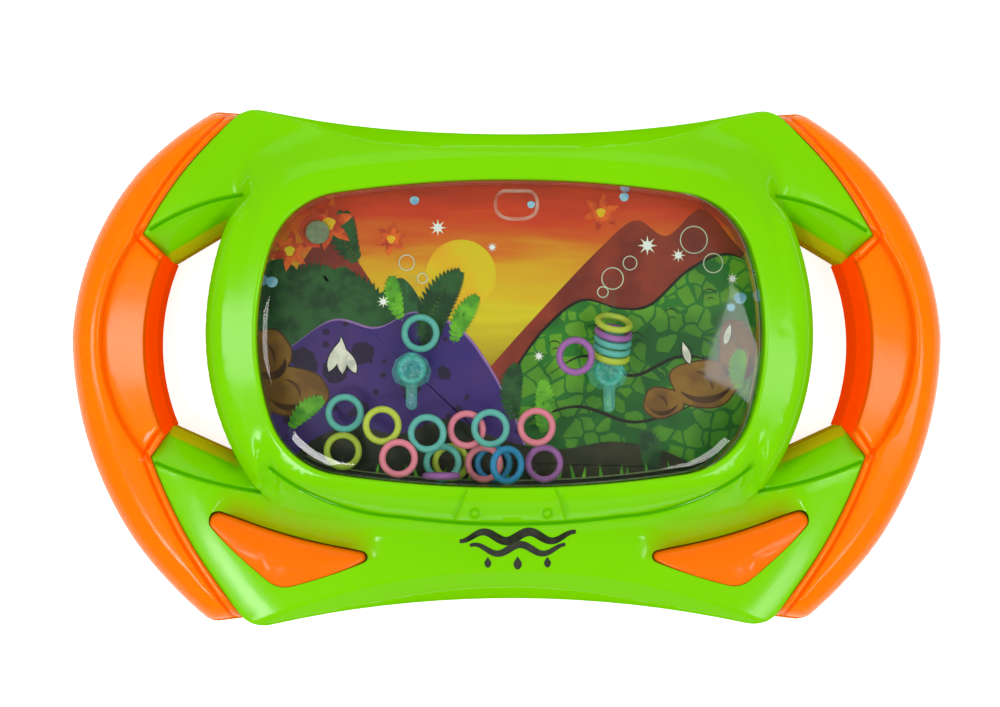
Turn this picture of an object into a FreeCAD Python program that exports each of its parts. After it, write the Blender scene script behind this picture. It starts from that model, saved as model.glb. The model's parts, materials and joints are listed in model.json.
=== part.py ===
import FreeCAD, Part
import os
from math import atan2, cos, degrees, hypot, radians, sin, sqrt

os.makedirs("parts", exist_ok=True)

V = FreeCAD.Vector

# Handheld water ring toss game, lying on its back
# +X runs to the right of the toy, +Y to its top and +Z out of the window, from the middle of the back face

# Overall sizes
toy_width = 220.8
toy_height = 130.6
shell_split = 16.0
panel_rise = 11.0
bezel_rise = 20.0
handle_rise = 10.6
wall = 2.0
overrun = 1.0
seam_gap = 0.15
sliver = 0.02

# Edge and corner rounding of the shells
panel_corner_radius = 8.0
panel_edge_radius = 1.6
back_edge_radius = 4.0
bezel_edge_radius = 6.5
handle_outer_radius = 6.5
handle_inner_radius = 2.6
handle_tip_radius = 5.0
handle_back_radius = 4.0

# Window and the bezel round it
window_half_width = 63.2
window_half_height = 38.3
window_side_radius = 68.5
window_end_radius = 290.0
window_corner_radius = 20.5
window_rise = 8.5
bezel_half_width = 76.2
bezel_up = 43.6
bezel_down = 49.5
bezel_side_radius = 75.0
bezel_lower_side_radius = 66.0
bezel_end_radius = 300.0
bezel_corner_radius = 19.0
bezel_draft = 3.6

# Outline of the green body: shares of half the toy's width and height
top_middle_share = 0.908
bottom_middle_share = -0.902
upper_corner_share = (-0.600, 1.012)
upper_seam_share = (-0.720, 0.806)
upper_fork_share = (-0.835, 0.5145)
upper_gap_corner_share = (-0.7726, 0.409)
lower_gap_corner_share = (-0.7726, -0.2266)
lower_fork_share = (-0.817, -0.343)
lower_seam_share = (-0.7264, -0.674)
lower_corner_share = (-0.586, -1.015)
upper_strut_share = (-0.882, 0.575)
lower_strut_share = (-0.882, -0.352)

# Outline of the handles, in the same shares
handle_top_share = (-0.678, 0.9985)
handle_top_inside_share = (-0.56, 0.985)
handle_upper_share = (-0.9085, 0.619)
handle_widest_share = (-1.0, 0.121)
handle_lower_share = (-0.9457, -0.378)
handle_bottom_share = (-0.683, -0.989)
handle_bottom_inside_share = (-0.57, -0.965)
grip_inner_share = (-0.8098, 0.1225)
grip_groove_top_share = (-0.838, 0.525)
grip_groove_middle_share = (-0.928, 0.121)
grip_groove_bottom_share = (-0.820, -0.352)
seam_groove_offset = 1.6
groove_width = 0.7
groove_depth = 0.8
grip_drop = 0.6

# Facets and grooves of the front shell
bevel_centre_height = 211.0
bevel_radius = 157.7
bevel_slope_width = 6.0
bevel_depth = 7.0
strut_groove_outer_share = (-0.824, 0.52)
strut_groove_middle_share = (-0.715, 0.617)
strut_groove_inner_share = (-0.58, 0.67)
low_groove_outer_share = (-0.806, -0.365)
low_groove_middle_share = (-0.693, -0.432)
low_groove_inner_share = (-0.55, -0.483)
facet_width = 6.6
facet_depth = 5.4
facet_reach = 19.8
bezel_groove_shares = ((-0.946, -0.875), (-0.704, -1.102), (-0.432, -1.196), (0.0, -1.245))
tab_top_half = 11.2
tab_bottom_half = 13.8
tab_height = 7.3
tab_lift = 0.5
tab_rivet_spread = 9.1
tab_rivet_radius = 1.4
tab_rivet_drop = 5.6
tab_rivet_groove = 0.35

# Thumb buttons, their wells and the travel
button_clearance = 0.3
button_crown = 28.0
button_wall = 1.2
button_skirt_height = 7.4
button_flange = 1.4
button_flange_height = 1.2
button_well_height = 4.4
button_outer_corner_share = (-0.664, -0.591)
button_inner_corner_share = (-0.3406, -0.735)
button_lower_corner_share = (-0.5118, -0.752)
button_outer_radius = 2.3
button_inner_radius = 1.5
button_lower_radius = 6.5
button_top_bend = -165.0
button_side_bend = 125.0
button_edge_radius = 1.2
button_plunger_radius = 2.4

# Pump under each button
pump_place_share = (-0.512, -0.735)
pump_cup_radius = 6.9
pump_cup_floor = 1.4
pump_cup_wall = 1.3
pump_cup_height = 10.6
bulb_flange_thickness = 1.1
bulb_radius = 5.4
bulb_wall = 0.9
bulb_gap = 0.25
bulb_crown_radius = 2.6
duct_start_height = 5.0
duct_end_height = 25.0
duct_target_share = (-0.60, -0.80)
nozzle_radius = 1.4
nozzle_bore = 0.8
nozzle_length = 4.6
hose_radius = 2.2
hose_cup_gap = 0.4
hose_tank_gap = 2.2
hose_fit = 0.02
hose_notch_clearance = 0.5

# Water tank, picture card and filler plug
tank_fit = 0.3
tank_wall = 1.5
tank_lip = 1.4
tank_flange = 3.9
lip_height = 1.7
skirt_wall = 1.4
tank_plate_thickness = 1.6
tank_plate_bottom = 12.0
tank_crown = 38.2
tank_dome_radius = 1100.0
tank_edge_radius = 2.2
card_thickness = 0.6
card_margin = 2.0
card_post_radius = 2.5
card_post_shares = ((-0.86, 0.0), (-0.5, 0.84), (0.0, 0.9), (-0.5, -0.8), (0.0, -0.9), (0.0, 0.0))
filler_place_share = (-0.772, 0.684)
filler_bore = 3.0
filler_neck_wall = 1.2
filler_neck_length = 5.0
filler_fit = 0.03
filler_head_radius = 4.4
filler_head_height = 1.6
filler_hole_radius = 5.2
filler_card_gap = 0.5

# Pegs that catch the rings
peg_height_in_tank = 8.0
peg_place_shares = ((-0.392, -0.233), (0.402, -0.250))
peg_stem_radius = 1.45
peg_stem_up = 22.6
peg_stem_down = 8.8
peg_boss_radius = 3.8
peg_boss_thickness = 4.9
peg_boss_edge = 1.3
peg_post_radius = 2.5
peg_collar_radius = 5.1
peg_collar_thickness = 2.3
peg_collar_shares = ((0.36, 0.8), (0.78, 0.5), (1.0, -0.1), (0.84, -0.62), (0.4, -0.86))
peg_pin_radius = 1.2
peg_pin_fit = 0.05

# Rings: outside and inside diameters, and how far apart they lie in depth
ring_outside = 9.8
ring_inside = 6.4
ring_layer_gap = 0.2
ring_floor_gap = 0.4

# Loose rings, each with its place in shares of the window's half sizes and its layer
loose_ring_shares = {
    "ring_01": (-0.330, -0.653, 6),
    "ring_02": (-0.171, -0.631, 4),
    "ring_03": (-0.077, -0.621, 5),
    "ring_04": (0.109, -0.613, 4),
    "ring_05": (-0.267, -0.850, 2),
    "ring_06": (-0.231, -0.853, 0),
    "ring_07": (-0.099, -0.861, 1),
    "ring_08": (-0.060, -0.862, 0),
    "ring_09": (0.143, -0.859, 2),
    "ring_10": (-0.660, -0.522, 3),
    "ring_11": (-0.509, -0.600, 6),
    "ring_12": (-0.669, -0.776, 1),
    "ring_13": (-0.444, -0.815, 7),
    "ring_14": (-0.356, 0.009, 1),
    "ring_15": (0.260, -0.146, 7),
}

# One ring that stands on edge and one that leans, both at the foot of the pile
upright = 90.0
edge_ring_share = (-0.274, -0.935)
edge_ring_layer = 5.05
leaning_ring_share = (-0.012, -0.860)
leaning_ring_layer = 6.9
leaning_ring_angle = 28.0

# Stack of rings on the right peg, from the bottom up
stack_names = ("ring_18", "ring_19", "ring_20", "ring_21", "ring_22")
stack_ring_gap = 0.06
stack_first_rise = 4.15
stack_tilts = (22.0, 22.0, 22.0, 22.0, 26.0)
stack_lean = 10.0
stack_top_rise = 0.6
stack_side_steps = (0.45, 0.65, 0.90, 1.10, 1.15)

# Screws from the back and their posts
screw_shank_radius = 1.1
screw_head_radius = 2.3
screw_head_height = 1.5
screw_slot_width = 0.6
screw_slot_depth = 0.7
screw_length = 13.0
screw_seat = 8.0
screw_fit = 0.05
screw_post_radius = 2.8
screw_hole_radius = 1.35
screw_recess_radius = 2.6
body_screw_shares = ((-0.565, 0.835), (-0.725, 0.650), (-0.735, -0.470), (-0.20, -0.790))
handle_screw_shares = ((-0.765, 0.835), (-0.885, -0.46))

# Tongues that key the handles into the back shell
tongue_shares = ((-0.755, 0.74), (-0.765, -0.575))
tongue_reach = 4.0
tongue_width = 6.0
tongue_height = 3.0
tongue_fit = 0.1

# Heights worked out from the sizes above
half_width = toy_width / 2
half_height = toy_height / 2
panel_top = shell_split + panel_rise
bezel_top = shell_split + bezel_rise
handle_top = shell_split + handle_rise
tank_floor = tank_plate_bottom + tank_plate_thickness
flange_top = tank_floor + tank_plate_thickness
lip_bottom = bezel_top - lip_height
ring_tube = (ring_outside - ring_inside) / 4
ring_middle = (ring_outside + ring_inside) / 4
ring_layer = 2 * ring_tube + ring_layer_gap


def spot(share, width=half_width, height=half_height, rise=0.0):
    """The point that a share names, on the toy or on a smaller outline."""
    return (share[0] * width, share[1] * height + rise)


def window_spot(share):
    return spot(share, window_half_width, window_half_height, window_rise)


def across(point):
    """The same point on the toy's other side."""
    return (-point[0], point[1])


def at(point, height=0.0):
    return V(point[0], point[1], height)


def path_wire(start, steps):
    """A closed line. A step is the next point, or a pair of points that an arc goes through."""
    edges = []
    here = start
    for step in steps:
        if isinstance(step[0], tuple):
            middle, end = step
            edges.append(Part.Arc(at(here), at(middle), at(end)).toShape())
        else:
            end = step
            edges.append(Part.LineSegment(at(here), at(end)).toShape())
        here = end
    return Part.Wire(edges)


def path_face(start, steps):
    return Part.Face(path_wire(start, steps))


def grown(face, amount):
    return face.makeOffset2D(amount)


def prism(face, low, high):
    flat = face.copy()
    flat.translate(V(0, 0, low))
    return flat.extrude(V(0, 0, high - low))


def post(point, radius, low, high):
    return Part.makeCylinder(radius, high - low, at(point, low))


def mirrored(shape):
    return shape.mirror(V(0, 0, 0), V(1, 0, 0))


def with_mirror(shape):
    return [shape, mirrored(shape)]


def one_solid(shape):
    """The largest solid of a shape, with needless seams taken out."""
    solids = sorted(shape.removeSplitter().Solids, key=lambda solid: solid.Volume)
    return solids[-1]


def level_edges(shape, height):
    """The edges that lie flat at a height."""
    chosen = []
    for edge in shape.Edges:
        box = edge.BoundBox
        if abs(box.ZMin - height) < sliver and abs(box.ZMax - height) < sliver:
            chosen.append(edge)
    return chosen


def upright_edges(shape, places):
    """The straight upright edges that stand at the places given."""
    chosen = []
    for edge in shape.Edges:
        box = edge.BoundBox
        if box.XLength > sliver or box.YLength > sliver or box.ZLength < sliver:
            continue
        for place in places:
            if hypot(box.XMin - place[0], box.YMin - place[1]) < overrun:
                chosen.append(edge)
                break
    return chosen


def rounded_uprights(shape, places, radius):
    return shape.makeFillet(radius, upright_edges(shape, places))


def arc_middle(centre, start, end):
    """The point half way round a short arc."""
    radius = hypot(start[0] - centre[0], start[1] - centre[1])
    first = atan2(start[1] - centre[1], start[0] - centre[0])
    last = atan2(end[1] - centre[1], end[0] - centre[0])
    middle = (first + last) / 2
    return (centre[0] + radius * cos(middle), centre[1] + radius * sin(middle))


def corner_quarter(half_across, reach, side_radius, end_radius, corner_radius):
    """Where a side arc, a corner arc and an end arc meet smoothly, in the first quarter."""
    side_centre = half_across - side_radius
    end_centre = reach - end_radius
    from_side = side_radius - corner_radius
    from_end = end_radius - corner_radius
    apart = hypot(side_centre, end_centre)
    along_x = -side_centre / apart
    along_y = end_centre / apart
    foot = (from_side**2 - from_end**2 + apart**2) / (2 * apart)
    rise = sqrt(from_side**2 - foot**2)
    centre = (side_centre + along_x * foot - along_y * rise, along_y * foot + along_x * rise)
    if centre[0] + centre[1] < 0 or centre[0] < 0:
        centre = (side_centre + along_x * foot + along_y * rise, along_y * foot - along_x * rise)
    to_side = side_radius / from_side
    to_end = end_radius / from_end
    side = (side_centre + (centre[0] - side_centre) * to_side, centre[1] * to_side)
    end = (centre[0] * to_end, end_centre + (centre[1] - end_centre) * to_end)
    side_middle = arc_middle((side_centre, 0.0), (half_across, 0.0), side)
    return side_middle, side, arc_middle(centre, side, end), end


def window_face(half_across, up, down, side_radius, lower_side_radius, end_radius, corner_radius):
    """A rounded window outline about the middle of the window."""
    upper = corner_quarter(half_across, up, side_radius, end_radius, corner_radius)
    lower = corner_quarter(half_across, down, lower_side_radius, end_radius, corner_radius)

    def place(point, turn_x, turn_y):
        return (turn_x * point[0], window_rise + turn_y * point[1])

    right = (half_across, window_rise)
    left = (-half_across, window_rise)
    steps = []
    side_middle, side, corner, end = (place(point, 1, 1) for point in upper)
    steps.append((side_middle, side))
    steps.append((corner, end))
    side_middle, side, corner, end = (place(point, -1, 1) for point in upper)
    steps.append(((0.0, window_rise + up), end))
    steps.append((corner, side))
    steps.append((side_middle, left))
    side_middle, side, corner, end = (place(point, -1, -1) for point in lower)
    steps.append((side_middle, side))
    steps.append((corner, end))
    side_middle, side, corner, end = (place(point, 1, -1) for point in lower)
    steps.append(((0.0, window_rise - down), end))
    steps.append((corner, side))
    steps.append((side_middle, right))
    return path_face(right, steps)


def window_outline():
    return window_face(
        window_half_width,
        window_half_height,
        window_half_height,
        window_side_radius,
        window_side_radius,
        window_end_radius,
        window_corner_radius,
    )


def bezel_outline(inset):
    return window_face(
        bezel_half_width - inset,
        bezel_up - inset,
        bezel_down - inset,
        bezel_side_radius - inset,
        bezel_lower_side_radius - inset,
        bezel_end_radius - inset,
        bezel_corner_radius - inset,
    )


def body_face():
    """The green body without its bezel: a panel with four struts that reach the handles."""
    left = [
        spot(upper_fork_share),
        spot(upper_gap_corner_share),
        spot(upper_strut_share, bezel_half_width),
        spot(lower_strut_share, bezel_half_width),
        spot(lower_gap_corner_share),
        spot(lower_fork_share),
    ]
    upper_corner = spot(upper_corner_share)
    lower_corner = spot(lower_corner_share)
    top_middle = (0.0, top_middle_share * half_height)
    bottom_middle = (0.0, bottom_middle_share * half_height)
    steps = [(top_middle, upper_corner), (spot(upper_seam_share), left[0])]
    steps += left[1:]
    steps.append((spot(lower_seam_share), lower_corner))
    steps.append((bottom_middle, across(lower_corner)))
    steps.append((across(spot(lower_seam_share)), across(left[-1])))
    steps += [across(point) for point in reversed(left[:-1])]
    steps.append((across(spot(upper_seam_share)), across(upper_corner)))
    return path_face(across(upper_corner), steps)


def body_corners():
    corners = [spot(upper_corner_share), spot(lower_corner_share)]
    return corners + [across(corner) for corner in corners]


def panel_block(low, high):
    """The body's panel as a block, its four outer corners rounded."""
    block = prism(body_face(), low, high)
    return rounded_uprights(block, body_corners(), panel_corner_radius)


def panel_hollow(low, high):
    return prism(grown(body_face(), -wall), low, high)


def bezel_block(low, high, inset, edge_radius):
    """The raised bezel: its side leans in and its top edge is well rounded."""
    sections = [bezel_outline(inset).OuterWire, bezel_outline(inset + bezel_draft).OuterWire]
    sections[0].translate(V(0, 0, shell_split))
    sections[1].translate(V(0, 0, high))
    leaning = Part.makeLoft(sections, True, True)
    leaning = leaning.makeFillet(edge_radius, level_edges(leaning, high))
    if low < shell_split:
        leaning = leaning.fuse(prism(bezel_outline(inset), low, shell_split))
    return leaning


def arc_band(start, middle, end, half_across, low, high):
    """A narrow upright band that follows an arc."""
    circle = Part.Arc(at(start), at(middle), at(end)).toShape()
    strip = circle.Curve
    centre = (strip.Center.x, strip.Center.y)

    def shifted(point, amount):
        reach = hypot(point[0] - centre[0], point[1] - centre[1])
        scale = (reach + amount) / reach
        return (centre[0] + (point[0] - centre[0]) * scale, centre[1] + (point[1] - centre[1]) * scale)

    outside = [shifted(point, half_across) for point in (start, middle, end)]
    inside = [shifted(point, -half_across) for point in (start, middle, end)]
    steps = [(outside[1], outside[2]), inside[2], (inside[1], inside[0]), outside[0]]
    return prism(path_face(outside[0], steps), low, high)


def bevel_cutter(turn):
    """The cone that slopes the middle of the top or bottom edge."""
    slope = bevel_slope_width / bevel_depth
    high_radius = bevel_radius + overrun * slope
    low_radius = bevel_radius - bevel_slope_width
    foot = V(0, turn * bevel_centre_height, panel_top - bevel_depth)
    return Part.makeCone(low_radius, high_radius, bevel_depth + overrun, foot)


def facet_cutter(outer_share, inner_share, turn, drop):
    """The wedge that slopes a strut from its groove down to the finger gap."""
    outer = spot(outer_share)
    inner = spot(inner_share)
    length = hypot(inner[0] - outer[0], inner[1] - outer[1])
    along = ((inner[0] - outer[0]) / length, (inner[1] - outer[1]) / length)
    down = (along[1] * turn, -along[0] * turn)
    reach = facet_reach
    fall = reach * facet_depth / facet_width
    start = (outer[0] - along[0] * facet_width, outer[1] - along[1] * facet_width)
    far_edge = (start[0] + down[0] * reach, start[1] + down[1] * reach)
    top = panel_top - drop
    corners = [at(start, top), at(far_edge, top - fall), at(far_edge, top + reach), at(start, top + reach)]
    profile = Part.makePolygon(corners + corners[:1])
    run = length + facet_width
    return Part.Face(profile).extrude(V(along[0] * run, along[1] * run, 0))


def strut_cutters(drop):
    upper = facet_cutter(strut_groove_outer_share, strut_groove_inner_share, 1, drop)
    lower = facet_cutter(low_groove_outer_share, low_groove_inner_share, -1, drop)
    return with_mirror(upper) + with_mirror(lower)


def strut_grooves():
    low = panel_top - groove_depth
    high = panel_top + overrun
    upper = arc_band(
        spot(strut_groove_outer_share),
        spot(strut_groove_middle_share),
        spot(strut_groove_inner_share),
        groove_width / 2,
        low,
        high,
    )
    lower = arc_band(
        spot(low_groove_outer_share),
        spot(low_groove_middle_share),
        spot(low_groove_inner_share),
        groove_width / 2,
        low,
        high,
    )
    return with_mirror(upper) + with_mirror(lower)


def bezel_grooves():
    """The fine line under the window, at the foot of the bezel."""
    low = panel_top - groove_depth
    outer, middle, inner, lowest = (window_spot(share) for share in bezel_groove_shares)
    side = arc_band(outer, middle, inner, groove_width / 2, low, bezel_top)
    return with_mirror(side) + [arc_band(inner, lowest, across(inner), groove_width / 2, low, bezel_top)]


def tab_block():
    """The small raised tab under the window."""
    top = window_rise - bezel_down + tab_height + wall
    bottom = top - tab_height
    start = (-tab_top_half, top)
    steps = [(-tab_bottom_half, bottom), (tab_bottom_half, bottom), (tab_top_half, top), start]
    return prism(path_face(start, steps), panel_top - wall, panel_top + tab_lift)


def rivet_cutters():
    """Ring grooves that look like two rivets on the tab."""
    top = window_rise - bezel_down + tab_height + wall
    cutters = []
    for turn in (-1, 1):
        place = (turn * tab_rivet_spread, top - tab_rivet_drop)
        outer = post(place, tab_rivet_radius, panel_top + tab_lift - groove_depth, panel_top + overrun)
        inner = post(place, tab_rivet_radius - tab_rivet_groove, shell_split, bezel_top)
        cutters.append(outer.cut(inner))
    return cutters


def round_cornered_face(corners, amount):
    """A face round several corner circles, each joined smoothly to the next by a long arc.

    A corner is its centre, its radius and the radius of the arc to the next corner, which is negative
    where it is hollow.
    """
    count = len(corners)
    sides = []
    for index in range(count):
        first, first_radius, bend = corners[index]
        second, second_radius, _ = corners[(index + 1) % count]
        apart = hypot(second[0] - first[0], second[1] - first[1])
        along = ((second[0] - first[0]) / apart, (second[1] - first[1]) / apart)
        out = (along[1], -along[0])
        from_first = abs(bend - first_radius)
        from_second = abs(bend - second_radius)
        foot = (from_first**2 - from_second**2 + apart**2) / (2 * apart)
        rise = sqrt(from_first**2 - foot**2) * (1 if bend > 0 else -1)
        centre = (first[0] + along[0] * foot - out[0] * rise, first[1] + along[1] * foot - out[1] * rise)
        first_scale = abs(bend + amount) / from_first
        second_scale = abs(bend + amount) / from_second
        start = between(centre, first, first_scale)
        end = between(centre, second, second_scale)
        sides.append((start, round_middle(centre, start, end, abs(bend + amount)), end))
    steps = []
    for index in range(count):
        _, middle, end = sides[index]
        start = sides[(index + 1) % count][0]
        corner, radius, _ = corners[(index + 1) % count]
        steps.append((middle, end))
        steps.append((round_middle(corner, end, start, radius + amount), start))
    return path_face(sides[0][0], steps)


def between(start, end, share):
    return (start[0] + (end[0] - start[0]) * share, start[1] + (end[1] - start[1]) * share)


def round_middle(centre, start, end, radius):
    """The middle of the short arc between two points on a circle."""
    chord = ((start[0] + end[0]) / 2, (start[1] + end[1]) / 2)
    return between(centre, chord, radius / hypot(chord[0] - centre[0], chord[1] - centre[1]))


def button_face(amount=0.0):
    corners = [
        (spot(button_outer_corner_share), button_outer_radius, button_side_bend),
        (spot(button_lower_corner_share), button_lower_radius, button_side_bend),
        (spot(button_inner_corner_share), button_inner_radius, button_top_bend),
    ]
    return round_cornered_face(corners, amount)


def screw_posts(shares, radius, low, high):
    posts = []
    for share in shares:
        place = spot(share)
        posts.append(post(place, radius, low, high))
        posts.append(post(across(place), radius, low, high))
    return posts


def cup_place():
    return spot(pump_place_share)


def duct_ends():
    start = at(cup_place(), duct_start_height)
    end = at(window_spot(duct_target_share), duct_end_height)
    return start, end


def duct_rod(radius, first, last):
    """A rod along the duct, between two distances from the middle of the cup."""
    start, end = duct_ends()
    along = (end - start).normalize()
    return Part.makeCylinder(radius, last - first, start + along * first, along)


def duct_wall_distance():
    """How far along the duct the tank's outer wall lies."""
    start, end = duct_ends()
    tank = prism(grown(window_outline(), tank_lip), 0.0, bezel_top)
    inside = Part.LineSegment(start, end).toShape().common(tank)
    return (end - start).Length - inside.Length


def front_shell():
    panel = panel_block(shell_split, panel_top)
    panel = panel.makeFillet(panel_edge_radius, level_edges(panel, panel_top))
    shell = panel.cut([bevel_cutter(1), bevel_cutter(-1)] + strut_cutters(0.0))
    shell = shell.fuse(bezel_block(shell_split, bezel_top, 0.0, bezel_edge_radius))
    hollow = panel_hollow(shell_split - overrun, panel_top - wall)
    lowered = [bevel_cutter(1), bevel_cutter(-1)]
    for cutter in lowered:
        cutter.translate(V(0, 0, -wall - overrun))
    hollow = hollow.cut(lowered + strut_cutters(wall + overrun))
    hollow = hollow.fuse(bezel_block(shell_split - overrun, bezel_top - wall, wall, bezel_edge_radius - wall))
    shell = shell.cut(hollow)
    window = window_outline()
    pocket = grown(window, tank_lip + tank_fit)
    skirt = prism(grown(window, tank_lip + tank_fit + skirt_wall), flange_top, bezel_top - wall)
    shell = shell.fuse(skirt)
    low = shell_split - overrun
    shell = shell.fuse(screw_posts(body_screw_shares, screw_post_radius, shell_split, panel_top - wall / 2))
    pilot_top = screw_seat + screw_length + overrun
    pilots = screw_posts(body_screw_shares, screw_shank_radius + screw_fit, low, pilot_top)
    shell = shell.cut(pilots)
    well = prism(button_face(button_clearance + wall), panel_top - button_well_height, panel_top - wall / 2)
    shell = shell.fuse(with_mirror(well))
    hole = prism(button_face(button_clearance), shell_split - overrun, panel_top + overrun)
    notch = duct_rod(hose_radius + hose_notch_clearance, pump_cup_radius, duct_wall_distance() + wall)
    shell = shell.cut(with_mirror(hole) + with_mirror(notch))
    shell = shell.cut(prism(window, 0.0, bezel_top + overrun))
    shell = shell.cut(prism(pocket, flange_top - overrun, lip_bottom))
    shell = shell.fuse(tab_block())
    shell = shell.cut(strut_grooves() + bezel_grooves() + rivet_cutters())
    return one_solid(shell)


def back_shell():
    block = panel_block(0.0, shell_split)
    block = block.fuse(prism(bezel_outline(0.0), 0.0, shell_split)).removeSplitter()
    block = block.makeFillet(back_edge_radius, level_edges(block, 0.0))
    hollow = panel_hollow(wall, shell_split + overrun)
    hollow = hollow.fuse(prism(bezel_outline(wall), wall, shell_split + overrun))
    shell = block.cut(hollow)
    shell = shell.fuse(screw_posts(body_screw_shares, screw_post_radius, wall / 2, shell_split))
    recesses = screw_posts(body_screw_shares, screw_recess_radius, -overrun, screw_seat)
    holes = screw_posts(body_screw_shares, screw_hole_radius, 0.0, shell_split + overrun)
    card_bottom = tank_plate_bottom - card_thickness
    supports = []
    for share in card_post_shares:
        place = window_spot(share)
        supports.append(post(place, card_post_radius, wall / 2, card_bottom))
        if place[0]:
            supports.append(post(across(place), card_post_radius, wall / 2, card_bottom))
    shell = shell.fuse(supports)
    filler = post(window_spot(filler_place_share), filler_hole_radius, -overrun, wall + overrun)
    notches = [tongue(share, tongue_fit) for share in tongue_shares]
    notches += [mirrored(notch) for notch in notches]
    shell = shell.cut(recesses + holes + [filler] + notches)
    return one_solid(shell)


def handle_face():
    """The left handle seen from the front, before the body and the finger gap are taken out."""
    top = spot(handle_top_share)
    widest = spot(handle_widest_share)
    bottom = spot(handle_bottom_share)
    steps = [
        (spot(handle_upper_share), widest),
        (spot(handle_lower_share), bottom),
        spot(handle_bottom_inside_share),
        spot(handle_top_inside_share),
        top,
    ]
    return path_face(top, steps)


def gap_face():
    """The finger gap, from the handle's inner side to well inside the bezel."""
    upper = spot(upper_gap_corner_share)
    lower = spot(lower_gap_corner_share)
    middle = spot(grip_inner_share)
    steps = [(middle, lower), (0.0, lower[1]), (0.0, upper[1]), upper]
    return path_face(upper, steps)


def handle_block(low, high, edge_height=None, edge_radius=0.0):
    """The handle between two heights, with its outer edge rounded at one of them."""
    corners = [spot(handle_top_share), spot(handle_bottom_share)]
    block = rounded_uprights(prism(handle_face(), low, high), corners, handle_tip_radius)
    if edge_radius:
        block = block.makeFillet(edge_radius, outer_edges(block, edge_height))
    body = prism(grown(body_face(), seam_gap), low - overrun, high + overrun)
    gap = prism(gap_face(), low - overrun, high + overrun)
    return one_solid(block.cut([body, gap]))


def handle_hollow(low, high):
    block = handle_block(low, high)
    bottom = [piece for piece in block.Faces if abs(piece.CenterOfMass.z - low) < sliver]
    return prism(grown(bottom[0], -wall).translated(V(0, 0, -low)), low, high)


def handle_grooves():
    """The line along the handle's seam and round the sunk grip."""
    low = handle_top - groove_depth
    high = handle_top + overrun
    grip = arc_band(
        spot(grip_groove_top_share),
        spot(grip_groove_middle_share),
        spot(grip_groove_bottom_share),
        groove_width / 2,
        low,
        high,
    )
    lip = prism(grown(body_face(), seam_gap + seam_groove_offset + groove_width), low, high)
    lip = lip.cut(prism(grown(body_face(), seam_gap + seam_groove_offset), low - overrun, high + overrun))
    return [grip, lip]


def grip_region(low, high):
    """The sunk part of the handle between its groove and the finger gap."""
    top = spot(grip_groove_top_share)
    bottom = spot(grip_groove_bottom_share)
    middle = spot(grip_groove_middle_share)
    steps = [(middle, bottom), (0.0, bottom[1]), (0.0, top[1]), top]
    region = prism(path_face(top, steps), low, high)
    return region.cut(prism(grown(body_face(), seam_gap + seam_groove_offset), low - overrun, high + overrun))


def tongue(share, fit):
    """A flat tongue that lies across the seam, from the handle into the body."""
    place = spot(share)
    length = 2 * (tongue_reach + fit)
    width = tongue_width + 2 * fit
    height = tongue_height + fit
    block = Part.makeBox(length, width, height, V(-length / 2, -width / 2, shell_split - height))
    slope = atan2(place[1], place[0])
    block.rotate(V(0, 0, 0), V(0, 0, 1), degrees(slope))
    block.translate(at(place))
    return block


def handle_front():
    block = handle_block(shell_split, handle_top, handle_top, handle_outer_radius)
    block = block.makeFillet(handle_inner_radius, grip_edges(block, handle_top))
    hollow = handle_hollow(shell_split - overrun, handle_top - 2 * wall)
    shell = block.cut(hollow)
    posts = handle_posts(screw_post_radius, shell_split, handle_top - wall)
    shell = shell.fuse([solid.common(block) for solid in posts])
    pilot_top = screw_seat + screw_length + overrun
    shell = shell.cut(handle_posts(screw_shank_radius + screw_fit, shell_split - overrun, pilot_top))
    for cutter in [grip_region(handle_top - grip_drop, handle_top + overrun)] + handle_grooves():
        shell = shell.cut(cutter)
    return one_solid(shell)


def handle_posts(radius, low, high):
    return [post(spot(share), radius, low, high) for share in handle_screw_shares]


def outer_edges(shape, height):
    """The level edges that run round the handle's outer side."""
    inner_reach = -spot(handle_top_inside_share)[0] + overrun
    return [edge for edge in level_edges(shape, height) if -edge.CenterOfMass.x > inner_reach]


def grip_edges(shape, height):
    """The level edge beside the finger gap."""
    inner = spot(grip_inner_share)
    chosen = []
    for edge in level_edges(shape, height):
        middle = edge.valueAt((edge.FirstParameter + edge.LastParameter) / 2)
        if abs(middle.x - inner[0]) < wall and abs(middle.y - inner[1]) < 2 * wall:
            chosen.append(edge)
    return chosen


def handle_back():
    block = handle_block(0.0, shell_split, 0.0, handle_back_radius)
    hollow = handle_hollow(2 * wall, shell_split + overrun)
    shell = block.cut(hollow)
    posts = handle_posts(screw_post_radius, wall, shell_split)
    shell = shell.fuse([solid.common(block) for solid in posts])
    shell = shell.fuse([tongue(share, 0.0) for share in tongue_shares])
    recesses = handle_posts(screw_recess_radius, -overrun, screw_seat)
    holes = handle_posts(screw_hole_radius, 0.0, shell_split + overrun)
    return one_solid(shell.cut(recesses + holes))


def button():
    top = button_crown
    bottom = top - button_skirt_height
    block = prism(button_face(), bottom, top)
    block = block.makeFillet(button_edge_radius, level_edges(block, top))
    block = block.fuse(prism(button_face(button_flange), bottom, bottom + button_flange_height))
    block = block.cut(prism(button_face(-button_wall), bottom - overrun, top - button_wall))
    plunger = post(cup_place(), button_plunger_radius, bulb_top() + bulb_gap, top - button_wall)
    return one_solid(block.fuse(plunger))


def bulb_base():
    return wall + pump_cup_height


def bulb_top():
    return button_crown - button_skirt_height - bulb_gap


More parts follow.
